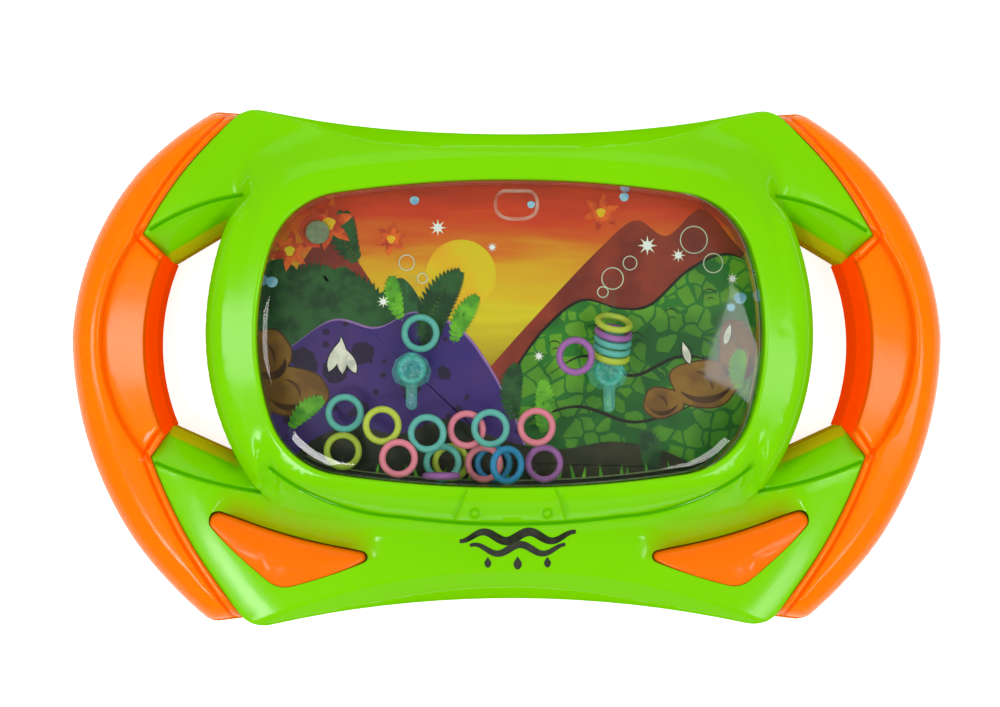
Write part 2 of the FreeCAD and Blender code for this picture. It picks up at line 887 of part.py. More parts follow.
def pump_cup():
    """A cup on the floor of the shell, with a nozzle that points at the tank."""
    place = cup_place()
    cup = post(place, pump_cup_radius, wall, bulb_base())
    cup = cup.cut(post(place, pump_cup_radius - pump_cup_wall, wall + pump_cup_floor, bulb_base() + overrun))
    reach = pump_cup_radius + nozzle_length
    nozzle = duct_rod(nozzle_radius, pump_cup_radius - pump_cup_wall / 2, reach)
    bore = duct_rod(nozzle_bore, 0.0, reach + overrun)
    return one_solid(cup.fuse(nozzle).cut(bore))


def pump_bulb():
    """A rubber bulb with a rim that sits on the cup."""
    place = cup_place()
    rim = post(place, pump_cup_radius, bulb_base(), bulb_base() + bulb_flange_thickness)
    dome = post(place, bulb_radius, bulb_base(), bulb_top())
    dome = dome.makeFillet(bulb_crown_radius, level_edges(dome, bulb_top()))
    inside = post(place, bulb_radius - bulb_wall, bulb_base() - overrun, bulb_top() - bulb_wall)
    inside = inside.makeFillet(bulb_crown_radius - bulb_wall, level_edges(inside, bulb_top() - bulb_wall))
    return one_solid(rim.fuse(dome).cut(inside))


def pump_hose():
    """The short rubber hose from the cup's nozzle to the tank's."""
    start = pump_cup_radius + hose_cup_gap + hose_radius
    end = duct_wall_distance() - hose_tank_gap
    hose = duct_rod(hose_radius, start, end)
    return one_solid(hose.cut(duct_rod(nozzle_radius + hose_fit, start - overrun, end + overrun)))


def dome_ball(drop):
    radius = tank_dome_radius - drop
    return Part.makeSphere(radius, V(0, window_rise, tank_crown - tank_dome_radius))


def tank_front():
    """The clear front of the tank: a domed window over wider side walls, a flange and two water nozzles."""
    window = window_outline()
    block = prism(grown(window, -tank_fit), tank_floor, tank_crown + overrun).common(dome_ball(0.0))
    top = [edge for edge in block.Edges if edge.BoundBox.ZMin > bezel_top - wall]
    block = block.makeFillet(tank_edge_radius, top)
    hollow = prism(grown(window, -tank_fit - tank_wall), tank_floor, tank_crown).common(dome_ball(tank_wall))
    shoulder = lip_bottom - tank_fit
    sides = prism(grown(window, tank_lip), tank_floor, shoulder)
    wide_hollow = prism(grown(window, tank_lip - tank_wall), tank_floor - overrun, shoulder - tank_wall / 2)
    flange = prism(grown(window, tank_flange), tank_floor, flange_top)
    shell = block.fuse([sides, flange]).cut([hollow, wide_hollow])
    distance = duct_wall_distance()
    nozzle = duct_rod(nozzle_radius, distance - nozzle_length, distance + tank_wall / 2)
    bore = duct_rod(nozzle_bore, distance - nozzle_length - overrun, distance + nozzle_length)
    shell = shell.fuse(with_mirror(nozzle)).cut(with_mirror(bore))
    return one_solid(shell)


def tank_back():
    """The clear back plate of the tank, with the filler neck and the pegs' holes."""
    plate = prism(grown(window_outline(), tank_flange), tank_plate_bottom, tank_floor)
    place = window_spot(filler_place_share)
    neck = post(place, filler_bore + filler_neck_wall, tank_plate_bottom - filler_neck_length, tank_floor)
    cutters = [post(place, filler_bore, 0.0, tank_floor + overrun)]
    for share in peg_place_shares:
        cutters.append(post(window_spot(share), peg_pin_radius + peg_pin_fit, 0.0, tank_floor + overrun))
    return one_solid(plate.fuse(neck).cut(cutters))


def picture_card():
    card = prism(grown(window_outline(), card_margin), tank_plate_bottom - card_thickness, tank_plate_bottom)
    radius = filler_bore + filler_neck_wall + filler_card_gap
    return one_solid(card.cut(post(window_spot(filler_place_share), radius, 0.0, tank_floor)))


def filler_plug():
    place = window_spot(filler_place_share)
    seat = tank_plate_bottom - filler_neck_length
    head = post(place, filler_head_radius, seat - filler_head_height, seat)
    return one_solid(head.fuse(post(place, filler_bore - filler_fit, seat - filler_head_height, tank_floor)))


def peg(share):
    """A clear peg: a collar on the plate, a post, a round boss and an upright stem for the rings."""
    place = window_spot(share)
    height = tank_floor + peg_height_in_tank
    corners = [spot(corner, peg_collar_radius, peg_collar_radius) for corner in peg_collar_shares]
    corners += [across(corner) for corner in reversed(corners)]
    outline = path_face(corners[0], corners[1:] + corners[:1])
    collar = prism(outline, tank_floor, tank_floor + peg_collar_thickness)
    collar.translate(at(place))
    pin = post(place, peg_pin_radius, tank_plate_bottom, tank_floor + sliver)
    column = post(place, peg_post_radius, tank_floor, height)
    boss_ends = (height - peg_boss_thickness / 2, height + peg_boss_thickness / 2)
    boss = post(place, peg_boss_radius, *boss_ends)
    rims = [edge for end in boss_ends for edge in level_edges(boss, end)]
    boss = boss.makeFillet(peg_boss_edge, rims)
    low = place[1] - peg_stem_down
    high = place[1] + peg_stem_up
    stem = Part.makeCylinder(peg_stem_radius, high - low, at((place[0], low), height), V(0, 1, 0))
    ends = [Part.makeSphere(peg_stem_radius, at((place[0], end), height)) for end in (low, high)]
    return one_solid(collar.fuse([pin, column, boss, stem] + ends))


def flat_ring():
    return Part.makeTorus(ring_middle, ring_tube)


def layer_height(layer):
    return tank_floor + ring_floor_gap + ring_tube + layer * ring_layer


def loose_ring(share, layer):
    ring = flat_ring()
    ring.translate(at(window_spot(share), layer_height(layer)))
    return ring


def edge_ring():
    ring = flat_ring()
    ring.rotate(V(0, 0, 0), V(1, 0, 0), upright)
    ring.translate(at(window_spot(edge_ring_share), layer_height(edge_ring_layer)))
    return ring


def leaning_ring():
    ring = flat_ring()
    ring.rotate(V(0, 0, 0), V(0, 1, 0), leaning_ring_angle)
    ring.translate(at(window_spot(leaning_ring_share), layer_height(leaning_ring_layer)))
    return ring


def stack_ring(index):
    """A ring round the right peg's stem. The whole stack leans back a little and to one side."""
    place = window_spot(peg_place_shares[1])
    height = tank_floor + peg_height_in_tank
    pitch = (2 * ring_tube + stack_ring_gap) / cos(radians(stack_tilts[0])) / cos(radians(stack_lean))
    rise = stack_first_rise + index * pitch
    if stack_tilts[index] > stack_tilts[0]:
        rise += stack_top_rise
    ring = flat_ring()
    ring.rotate(V(0, 0, 0), V(1, 0, 0), upright + stack_tilts[index])
    ring.rotate(V(0, 0, 0), V(0, 0, 1), -stack_lean)
    ring.translate(at((place[0] + stack_side_steps[index], place[1] + rise), height))
    return ring


def screws(places):
    group = []
    for place in places:
        head = post(place, screw_head_radius, screw_seat - screw_head_height, screw_seat)
        shank = post(place, screw_shank_radius, screw_seat - screw_head_height, screw_seat + screw_length)
        slot_low = screw_seat - screw_head_height - overrun
        corner = V(place[0] - screw_head_radius, place[1] - screw_slot_width / 2, slot_low)
        slot = Part.makeBox(2 * screw_head_radius, screw_slot_width, screw_slot_depth + overrun, corner)
        corner = V(place[0] - screw_slot_width / 2, place[1] - screw_head_radius, slot_low)
        crossing = Part.makeBox(screw_slot_width, 2 * screw_head_radius, screw_slot_depth + overrun, corner)
        group.append(one_solid(head.fuse(shank).cut([slot, crossing])))
    return Part.Compound(group)


def screw_places(shares):
    places = [spot(share) for share in shares]
    return places + [across(place) for place in places]


def save(name, shape):
    shape.exportStep("parts/" + name + ".step")


def save_pair(name, shape, ending=""):
    save(name + "_left" + ending, shape)
    save(name + "_right" + ending, mirrored(shape))


def main():
    save("front_shell", front_shell())
    save("back_shell", back_shell())
    save_pair("handle", handle_front(), "_front")
    save_pair("handle", handle_back(), "_back")
    save_pair("button", button())
    save_pair("pump_cup", pump_cup())
    save_pair("pump_bulb", pump_bulb())
    save_pair("pump_hose", pump_hose())
    save("tank_front", tank_front())
    save("tank_back", tank_back())
    save("picture_card", picture_card())
    save("filler_plug", filler_plug())
    save("peg_left", peg(peg_place_shares[0]))
    save("peg_right", peg(peg_place_shares[1]))
    for name, (across_share, up_share, layer) in loose_ring_shares.items():
        save(name, loose_ring((across_share, up_share), layer))
    save("ring_16", edge_ring())
    save("ring_17", leaning_ring())
    for index, name in enumerate(stack_names):
        save(name, stack_ring(index))
    save("case_screws", screws(screw_places(body_screw_shares)))
    save("handle_screws", screws(screw_places(handle_screw_shares)))


main()
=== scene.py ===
import json
import math

import bmesh
import bpy
import numpy as np
from mathutils import Matrix, Vector
from mathutils.geometry import delaunay_2d_cdt


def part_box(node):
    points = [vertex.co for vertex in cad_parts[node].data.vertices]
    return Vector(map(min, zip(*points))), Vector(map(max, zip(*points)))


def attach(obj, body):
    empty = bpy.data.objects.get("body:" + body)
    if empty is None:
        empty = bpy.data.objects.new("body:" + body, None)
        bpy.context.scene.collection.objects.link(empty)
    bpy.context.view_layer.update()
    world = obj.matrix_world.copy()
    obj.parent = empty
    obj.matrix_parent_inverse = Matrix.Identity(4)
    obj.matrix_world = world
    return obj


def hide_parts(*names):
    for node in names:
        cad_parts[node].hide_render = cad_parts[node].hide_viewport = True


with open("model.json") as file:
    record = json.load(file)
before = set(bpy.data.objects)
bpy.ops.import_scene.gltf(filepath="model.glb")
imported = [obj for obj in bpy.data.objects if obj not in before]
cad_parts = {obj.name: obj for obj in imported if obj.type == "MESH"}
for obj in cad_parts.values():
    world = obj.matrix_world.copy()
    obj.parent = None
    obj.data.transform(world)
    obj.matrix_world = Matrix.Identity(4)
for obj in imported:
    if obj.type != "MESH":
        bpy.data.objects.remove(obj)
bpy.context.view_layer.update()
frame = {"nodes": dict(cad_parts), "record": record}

# Shapes are worked out in millimetres and written to the meshes in metres
MM = 0.001

# Points handled at a time, so that the work stays in fast memory
BATCH = 400

# Meshing of the covers: how far the rows of points beside an outline lie from it, the share of that distance
# that they keep where the outline bends, the room between grid points as a share of their step, the least
# room beside an outline, and how near two points are to be one
EDGE_ROWS = (0.15, 0.35, 0.65, 1.05, 1.6)
ROW_SHARE = 0.85
GRID_SHARE = 0.6
OUTLINE_ROOM = 0.1
MERGED = 1e-5

# How near a CAD edge lies to the height that it is looked for at, and the least step along an outline
SAME_HEIGHT = 0.003
LEAST_STEP = 0.12

# A triangle that lies alone outside an outline is smaller than this
SLIVER = 0.01

# Faces whose normal rises less than this are walls, and edges that turn more than SHARP degrees stay crisp
WALL_STEEPNESS = 0.36
BEVEL_STEEPNESS = 0.68
SHARP = 35.0

# Size of the notch that runs round a cover where it meets its back half
NOTCH = 0.25

# Heights of the casing
PARTING = 16.0
HALF_OVERLAP = 0.04
PANEL_TOP = 27.3
PANEL_FALL = 0.7
PANEL_REACH = 92.0
BEZEL_TOP = 36.0
HANDLE_TOP = 26.6
LIP_BOTTOM = 34.3

# Window, bezel and how far they round over
WINDOW = dict(across=63.2, up=38.3, down=38.3, side=68.5, lower_side=68.5, end=290.0, corner=20.5)
BEZEL = dict(across=76.2, up=43.6, down=49.5, side=75.0, lower_side=66.0, end=300.0, corner=19.0)
WINDOW_RISE = 8.5
POCKET_OFFSET = 1.7
BEZEL_ROUND = 4.8
BEZEL_TILT = 0.13
LIP_ROUND = 0.9

# Where the bezel's crisp sides end, above and below, and over what length; how it runs out over the panel
# above and below the window; and where the one way gives over to the other
CRISP_ABOVE = (64.3, 5.0)
CRISP_BELOW = (59.5, 4.0)
GENTLE_RUN = (4.5, 17.0)
FOOT_RUN = (-3.5, 13.0)
UPPER_HALF = (2.0, 12.0)

# Draft of the casing's front
DRAFT = 0.55
DRAFT_MIDDLE = 3.0
DRAFT_START = 44.0
DRAFT_SPAN = 16.0

# Bevels along the panel's ends: the height of their common centre, and each one's radius and slope
BEVEL_CENTRE = 211.0
BEVEL_TURN = 0.48
UPPER_BEVEL = ((157.7, 1.15),)
LOWER_BEVEL = ((159.6, 0.72), (154.9, 0.8))

# Facets of the struts and their side walls, for the toy's right half
UPPER_GROOVE = ((90.3, 34.7), (78.94, 40.4), (67.3, 43.3))
LOWER_GROOVE = ((88.98, -23.83), (76.51, -28.21), (62.6, -31.0))
BEZEL_GROOVE = ((59.79, -25.01), (44.49, -33.71), (27.30, -37.31), (0.0, -39.18))
GROOVE_DEPTH = 0.9
GROOVE_WIDTH = 0.42
FACET_SLOPE = 0.74
FACET_START = 58.0
FACET_DIVIDE = 8.0
FACET_BACK = 3.0
WALL_FOOT = PARTING + 0.6
WALL_SLOPE = 2.0
WALL_BEND = 0.4
FACE_BEND = 0.5
SEAM_CROWN = 0.73
SEAM_CROWN_WIDTH = 10.5
EDGE_ROUND = (0.5, 0.7)
EDGE_ROUND_RUN = (1.3, 2.0)

# Tab under the window with its two rivets
TAB_TOP = (11.05, -30.5)
TAB_BOTTOM = (13.8, -38.2)
TAB_START = -28.0
TAB_LIFT = 0.8
RIVET_PLACE = (9.1, -36.4)
RIVET_RADIUS = 1.1
RIVET_ROWS = (0.35, 0.8, 1.1, 1.4, 1.8)

# Thumb buttons: their outer and inner tips, the dip in the panel above them, the gaps round them, their top
# with its crown, its fall towards the upper edge and its faint ridge, and their underside
BUTTON_TIPS = ((74.5, -36.6), (36.0, -47.6))
SCOOP_DEPTH = 3.5
SCOOP_WIDTH = 8.5
BUTTON_GAP = 0.35
LOWER_GAP = 0.03
BUTTON_TOP = 27.9
BUTTON_CROWN = 0.9
BUTTON_CROWN_REACH = 5.0
BUTTON_FALL = 1.7
BUTTON_FALL_REACH = 8.0
BUTTON_RIDGE = 0.25
BUTTON_BASE = 20.7
BUTTON_FLANGE = 21.8

# Handles: the outer edge's radius, the groove beside the seam, how far the seam is closed up, the sunk grip's
# outline, its slant and its steep wall at the finger gap, whose edge is GAP_ARC
HANDLE_ROUND = 6.5
HANDLE_CROWN = (0.25, 11.0)
SEAM_NEAR = 0.4
SEAM_GROOVE = 1.9
SEAM_DEPTH = 0.7
SEAM_WIDTH = 0.4
SEAM_CLOSING = 0.97
SEAM_ROUND = 0.4
GRIP_GROOVE = ((92.52, 34.28), (102.45, 7.90), (90.53, -22.99))
GRIP_DEPTH = 0.9
GRIP_WIDTH = 0.6
GRIP_REACH = 16.0
PAD_START = (1.6, 0.6)
PAD_DROP = 0.3
PAD_TILT = 0.13
GAP_ARC = ((85.30, 26.71), (89.40, 8.0), (85.30, -14.80))
GAP_WALL_SLOPE = 4.0
GAP_WALL_WIDTH = 3.4
GAP_WALL_ENDS = (-19.0, 31.0)

# Card and its print: heights, the thickness of a layer, and the small steps between the shapes of one layer
CARD_LOW = 11.42
CARD_TOP = 11.66
LAYER = 0.028
LAYER_STEP = 0.0018
LAYER_STEPS = 11

# The print's colours are made this much brighter, as painted light that makes up for the shade at the bottom
# of the tank
PRINT_LIGHT_GAIN = 1.45

# How far the mark on the panel stands out of it and reaches into it, and where its waves are
PRINT_LIFT = 0.12
PRINT_MIDDLE = 1.9
WAVE_HEIGHT = -42.4
WAVE_STEP = 3.3

# Flat air bubble under the top of the window: its place, half its size, how square it is, what it is
# pressed flat against, its height in the tank, and its rim's half width and half height
BUBBLE_PLACE = (1.3, 40.7)
BUBBLE_HALF = (5.2, 3.7)
BUBBLE_SQUARENESS = 2.6
BUBBLE_CEILING = 44.0
BUBBLE_HEIGHT = 34.9
BUBBLE_RIM = (0.42, 0.5)

# How far up a peg its boss sits
BOSS_SHARE = 0.31

# Tank's lens: its dome, its wall, the heights of its rim, and how it bends down near its edge
LENS_TOP = 38.2
LENS_RADIUS = 1100.0
LENS_WALL = 1.5
LENS_GAP = 0.3
LENS_SHOULDER = 34.0
LENS_SIDE = 1.4
LENS_FLANGE = 3.9
FLANGE_TOP = 15.2
FLANGE_BOTTOM = 13.6
LENS_BEND = 6.0
LENS_BEND_RATE = 0.015
LENS_ROUND = 1.2

# At its left end the lens bends over a shorter way: how long, from where, and how far up and down
LEFT_BEND = 3.0
LEFT_START = (50.0, 8.0)
LEFT_HALF = (12.0, 12.0)

NODES = frame["nodes"]
RECORD = frame["record"]


# Plain geometry helpers


def smooth(t):
    t = np.clip(t, 0.0, 1.0)
    return t * t * (3 - 2 * t)


def fade(value, start, span):
    """Zero up to a start and one from a span beyond it, with a smooth rise between."""
    return smooth((value - start) / span)


def ridge(value, place, width):
    """One where the value is at a place, falling to zero on both sides."""
    return np.exp(-(((value - place) / width) ** 2))


def rounding(inset, radius):
    """How far a rounded edge of a radius lies below its face, at a distance in from the edge."""
    lost = np.clip(radius - inset, 0, radius)
    return radius - np.sqrt(radius**2 - lost**2)


def soft_over(value, width):
    """The value where it is above zero and zero below, with a soft bend between."""
    return 0.5 * (value + np.sqrt(value * value + width * width))


def soft_least(first, second, width):
    """The lesser of two values, with a soft bend where they meet."""
    return first - soft_over(first - second, width)


def circle_through(start, middle, end):
    """Centre and radius of the circle through three points."""
    (ax, ay), (bx, by), (cx, cy) = start, middle, end
    turn = 2 * (ax * (by - cy) + bx * (cy - ay) + cx * (ay - by))
    a, b, c = ax * ax + ay * ay, bx * bx + by * by, cx * cx + cy * cy
    x = (a * (by - cy) + b * (cy - ay) + c * (ay - by)) / turn
    y = (a * (cx - bx) + b * (ax - cx) + c * (bx - ax)) / turn
    return x, y, math.hypot(ax - x, ay - y)


def arc(start, middle, end, step=0.8):
    """Points along the circle through three points."""
    ox, oy, radius = circle_through(start, middle, end)
    first, mid, last = (math.atan2(y - oy, x - ox) for x, y in (start, middle, end))
    mid = first + (mid - first + math.pi) % (2 * math.pi) - math.pi
    last = mid + (last - mid + math.pi) % (2 * math.pi) - math.pi
    count = max(4, int(abs(last - first) * radius / step) + 1)
    angles = np.linspace(first, last, count + 1)
    return np.column_stack([ox + radius * np.cos(angles), oy + radius * np.sin(angles)])


def outside_arc(points, line):
    """Distance of points outside the circle that an arc lies on."""
    x, y, radius = circle_through(line[0], line[len(line) // 2], line[-1])
    return np.hypot(points[:, 0] - x, points[:, 1] - y) - radius


def above_arc(points, line):
    """Distance of points from the circle that an arc lies on, positive on the arc's upper side."""
    middle = line[len(line) // 2]
    centre_height = circle_through(line[0], middle, line[-1])[1]
    return outside_arc(points, line) * (1 if centre_height < middle[1] else -1)


def normals(line):
    """The directions square to an open line at its points, on its right."""
    tangent = np.gradient(line, axis=0)
    tangent /= np.maximum(np.linalg.norm(tangent, axis=1), 1e-9)[:, None]
    return np.column_stack([tangent[:, 1], -tangent[:, 0]])


def mirror(line):
    return line * (-1, 1)


def through(points, step=0.8):
    """A smooth open curve through points."""
    points = np.array(points, float)
    padded = np.vstack([2 * points[0] - points[1], points, 2 * points[-1] - points[-2]])
    rows = []
    for a, b, c, d in zip(padded, padded[1:], padded[2:], padded[3:]):
        count = max(2, int(np.linalg.norm(c - b) / step))
        t = np.arange(count)[:, None] / count
        square, cube = 2 * a - 5 * b + 4 * c - d, 3 * b - a - 3 * c + d
        rows.append(0.5 * (2 * b + (c - a) * t + square * t**2 + cube * t**3))
    return np.vstack(rows + [points[-1:]])


def rounded_loop(across, up, down, side, lower_side, end, corner, step=0.8):
    """The window's or bezel's outline: side, corner and end arcs that meet smoothly."""

    def quarter(reach, side_radius):
        side_x, end_y = across - side_radius, reach - end
        from_side, from_end = side_radius - corner, end - corner
        apart = math.hypot(side_x, end_y)
        along = np.array([-side_x, end_y]) / apart
        foot = (from_side**2 - from_end**2 + apart**2) / (2 * apart)
        rise = math.sqrt(from_side**2 - foot**2)
        centre = np.array([side_x, 0.0]) + along * foot + np.array([-along[1], along[0]]) * rise
        if centre[0] < 0 or centre.sum() < 0:
            centre = np.array([side_x, 0.0]) + along * foot - np.array([-along[1], along[0]]) * rise
        side_angle = math.atan2(centre[1], centre[0] - side_x)
        end_angle = math.atan2(centre[1] - end_y, centre[0])
        pieces = []
        for origin, radius, first, last in (
            ((side_x, 0.0), side_radius, 0.0, side_angle),
            (centre, corner, side_angle, end_angle),
            ((0.0, end_y), end, end_angle, math.pi / 2),
        ):
            count = max(3, int(abs(last - first) * radius / step))
            angles = np.linspace(first, last, count + 1)[:-1]
            x, y = origin[0] + radius * np.cos(angles), origin[1] + radius * np.sin(angles)
            pieces.append(np.column_stack([x, y]))
        return np.vstack(pieces)

    upper, lower = quarter(up, side), quarter(down, lower_side)
    top, bottom = np.array([[0.0, up]]), np.array([[0.0, -down]])
    upper_half = [upper, top, upper[::-1] * (-1, 1)]
    lower_half = [lower[1:] * (-1, -1), bottom, lower[:0:-1] * (1, -1)]
    return np.vstack(upper_half + lower_half) + (0.0, WINDOW_RISE)


def rim_loops(node, height):
    """The closed edges of a CAD node where an upright wall starts at a height, largest first."""
    mesh = NODES[node].data
    mesh.calc_loop_triangles()
    points = np.zeros(len(mesh.vertices) * 3)
    mesh.vertices.foreach_get("co", points)
    points = points.reshape(-1, 3) / MM
    corners = np.zeros(len(mesh.loop_triangles) * 3, int)
    mesh.loop_triangles.foreach_get("vertices", corners)
    unique, place = np.unique(np.round(points, 4), axis=0, return_inverse=True)
    triangles = place.ravel()[corners].reshape(-1, 3)
    level = np.abs(unique[:, 2] - height) < SAME_HEIGHT
    links = {}
    for triangle in triangles[level[triangles].sum(axis=1) == 2]:
        a, b = triangle[level[triangle]]
        links.setdefault(a, set()).add(b)
        links.setdefault(b, set()).add(a)
    loops = []
    left = set(links)
    while left:
        here = start = left.pop()
        chain = [start]
        while True:
            onward = [other for other in links[here] if other in left]
            if not onward:
                break
            here = onward[0]
            left.discard(here)
            chain.append(here)
        loops.append(unique[chain][:, :2])
    return sorted(loops, key=lambda loop: -abs(area_of(loop)))


def area_of(loop):
    following = np.roll(loop, -1, axis=0)
    return 0.5 * np.sum(loop[:, 0] * following[:, 1] - following[:, 0] * loop[:, 1])


def resampled(loop, step):
    """A closed loop with long sides divided, going anticlockwise."""
    if area_of(loop) < 0:
        loop = loop[::-1]
    rows = []
    for a, b in zip(loop, np.roll(loop, -1, axis=0)):
        count = max(1, int(math.ceil(np.linalg.norm(b - a) / step)))
        rows.append(a + (b - a) * np.arange(count)[:, None] / count)
    points = np.vstack(rows)
    keep = [0]
    for index in range(1, len(points)):
        if np.linalg.norm(points[index] - points[keep[-1]]) > LEAST_STEP:
            keep.append(index)
    return points[keep]


def offset(loop, amount):
    """A closed anticlockwise loop moved outwards by an amount."""
    tangent = np.roll(loop, -1, axis=0) - np.roll(loop, 1, axis=0)
    tangent /= np.linalg.norm(tangent, axis=1)[:, None]
    return loop + np.column_stack([tangent[:, 1], -tangent[:, 0]]) * amount


def distance(points, line, closed=False):
    """How far points lie from a line of straight runs."""
    start = line if closed else line[:-1]
    run = (np.roll(line, -1, axis=0) if closed else line[1:]) - start
    length = np.maximum((run**2).sum(axis=1), 1e-12)
    found = np.empty(len(points))
    for low in range(0, len(points), BATCH):
        x = points[low : low + BATCH, :1] - start[:, 0]
        y = points[low : low + BATCH, 1:] - start[:, 1]
        share = np.clip((x * run[:, 0] + y * run[:, 1]) / length, 0.0, 1.0)
        x -= share * run[:, 0]
        y -= share * run[:, 1]
        found[low : low + BATCH] = np.sqrt((x * x + y * y).min(axis=1))
    return found


def inside(points, loop):
    """Which points lie inside a closed loop."""
    start, end = loop, np.roll(loop, -1, axis=0)
    found = np.zeros(len(points), bool)
    level = end[:, 1] - start[:, 1]
    slant = (end[:, 0] - start[:, 0]) / np.where(level == 0, 1.0, level)
    for low in range(0, len(points), BATCH):
        x, y = points[low : low + BATCH, :1], points[low : low + BATCH, 1:]
        across = (start[:, 1] > y) != (end[:, 1] > y)
        meet = start[:, 0] + (y - start[:, 1]) * slant
        found[low : low + BATCH] = (across & (x < meet)).sum(axis=1) % 2 == 1
    return found


def new_object(name, vertices, faces, body, materials=(), sharp=SHARP):
    mesh = bpy.data.meshes.new(name)
    mesh.from_pydata([tuple(v) for v in vertices], [], faces)
    mesh.validate()
    for material in materials:
        mesh.materials.append(material)
    mesh.shade_smooth()
    mesh.set_sharp_from_angle(angle=math.radians(sharp))
    item = bpy.data.objects.new(name, mesh)
    bpy.context.scene.collection.objects.link(item)
    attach(item, body)
    return item


def hex_points(low, high, step):
    """An even grid of points, each second row shifted by half a step."""
    xs = np.arange(low[0], high[0], step)
    ys = np.arange(low[1], high[1], step * 0.866)
    rows = []
    for index, y in enumerate(ys):
        rows.append(np.column_stack([xs + (step / 2 if index % 2 else 0.0), np.full(len(xs), y)]))
    return np.vstack(rows)


def drawn_in(points):
    """The mould's draft: the casing gets a little shorter towards its front."""
    y = points[:, 1] - DRAFT_MIDDLE
    shift = DRAFT * fade(np.abs(y), DRAFT_START, DRAFT_SPAN) * np.sign(y)
    return points - np.column_stack([np.zeros(len(points)), shift])


def kept_triangles(points, triangles, sides, made, loops):
    """Which triangles lie inside a first outline and outside the other ones.

    Triangles that meet at a side that isn't part of an outline are kept or dropped together.
    The largest decides, and slivers that a slightly hollow outline leaves outside are dropped.
    """
    outline_sides = {(min(side), max(side)) for side, sources in zip(sides, made) if sources}
    group = list(range(len(triangles)))

    def leader(index):
        while group[index] != index:
            group[index] = group[group[index]]
            index = group[index]
        return index

    beside = {}
    for index, (a, b, c) in enumerate(triangles.tolist()):
        for side in ((min(a, b), max(a, b)), (min(b, c), max(b, c)), (min(a, c), max(a, c))):
            if side in outline_sides:
                continue
            if side in beside:
                group[leader(index)] = leader(beside[side])
            beside[side] = index
    a, b, c = (points[triangles[:, corner]] for corner in range(3))
    area = np.abs((b[:, 0] - a[:, 0]) * (c[:, 1] - a[:, 1]) - (b[:, 1] - a[:, 1]) * (c[:, 0] - a[:, 0]))
    leaders = np.array([leader(index) for index in range(len(triangles))])
    largest = {}
    for index in np.argsort(area):
        largest[leaders[index]] = index
    middles = (a + b + c) / 3
    good = inside(middles, loops[0]) & (area > SLIVER)
    for hole in loops[1:]:
        good &= ~inside(middles, hole)
    return np.array([good[largest[found]] for found in leaders])


def filled(loops, inner=()):
    """Triangles between a first outline and the other ones, with more points inside.

    It gives their points, the triangles, and for each point the numbers of those that it came from.
    """
    points = [Vector(p) for loop in loops for p in loop] + [Vector(p) for p in inner]
    edges = []
    for loop in loops:
        start, count = len(edges), len(loop)
        edges += [(start + i, start + (i + 1) % count) for i in range(count)]
    flat, sides, triangles, origin, made, _ = delaunay_2d_cdt(points, edges, [], 0, MERGED)
    flat = np.array([tuple(p) for p in flat])
    triangles = np.array(triangles)
    return flat, triangles[kept_triangles(flat, triangles, sides, made, loops)], origin


def cover_points(loops, step, lines):
    """Points inside a cover's outline: rows beside its outlines and features, and a grid elsewhere."""
    rows = []
    for number, loop in enumerate(loops):
        for amount in EDGE_ROWS:
            row = offset(loop, amount if number else -amount)
            rows.append(row[distance(row, loop, True) > ROW_SHARE * amount])
    for line, amounts in lines:
        rows += [line + normals(line) * amount for amount in amounts]
    fine = np.vstack(rows)
    taken = {}
    for point in fine:
        taken.setdefault((int(point[0] // step), int(point[1] // step)), []).append(point)

    def free(point):
        cx, cy = int(point[0] // step), int(point[1] // step)
        for i in (cx - 1, cx, cx + 1):
            for j in (cy - 1, cy, cy + 1):
                if any(np.abs(point - other).max() < GRID_SHARE * step for other in taken.get((i, j), ())):
                    return False
        return True

    grid = hex_points(loops[0].min(axis=0), loops[0].max(axis=0), step)
    inner = np.vstack([fine, [point for point in grid if free(point)]])
    wanted = inside(inner, loops[0]) & (distance(inner, loops[0], True) > OUTLINE_ROOM)
    for hole in loops[1:]:
        wanted &= ~inside(inner, hole) & (distance(inner, hole, True) > OUTLINE_ROOM)
    return inner[wanted]


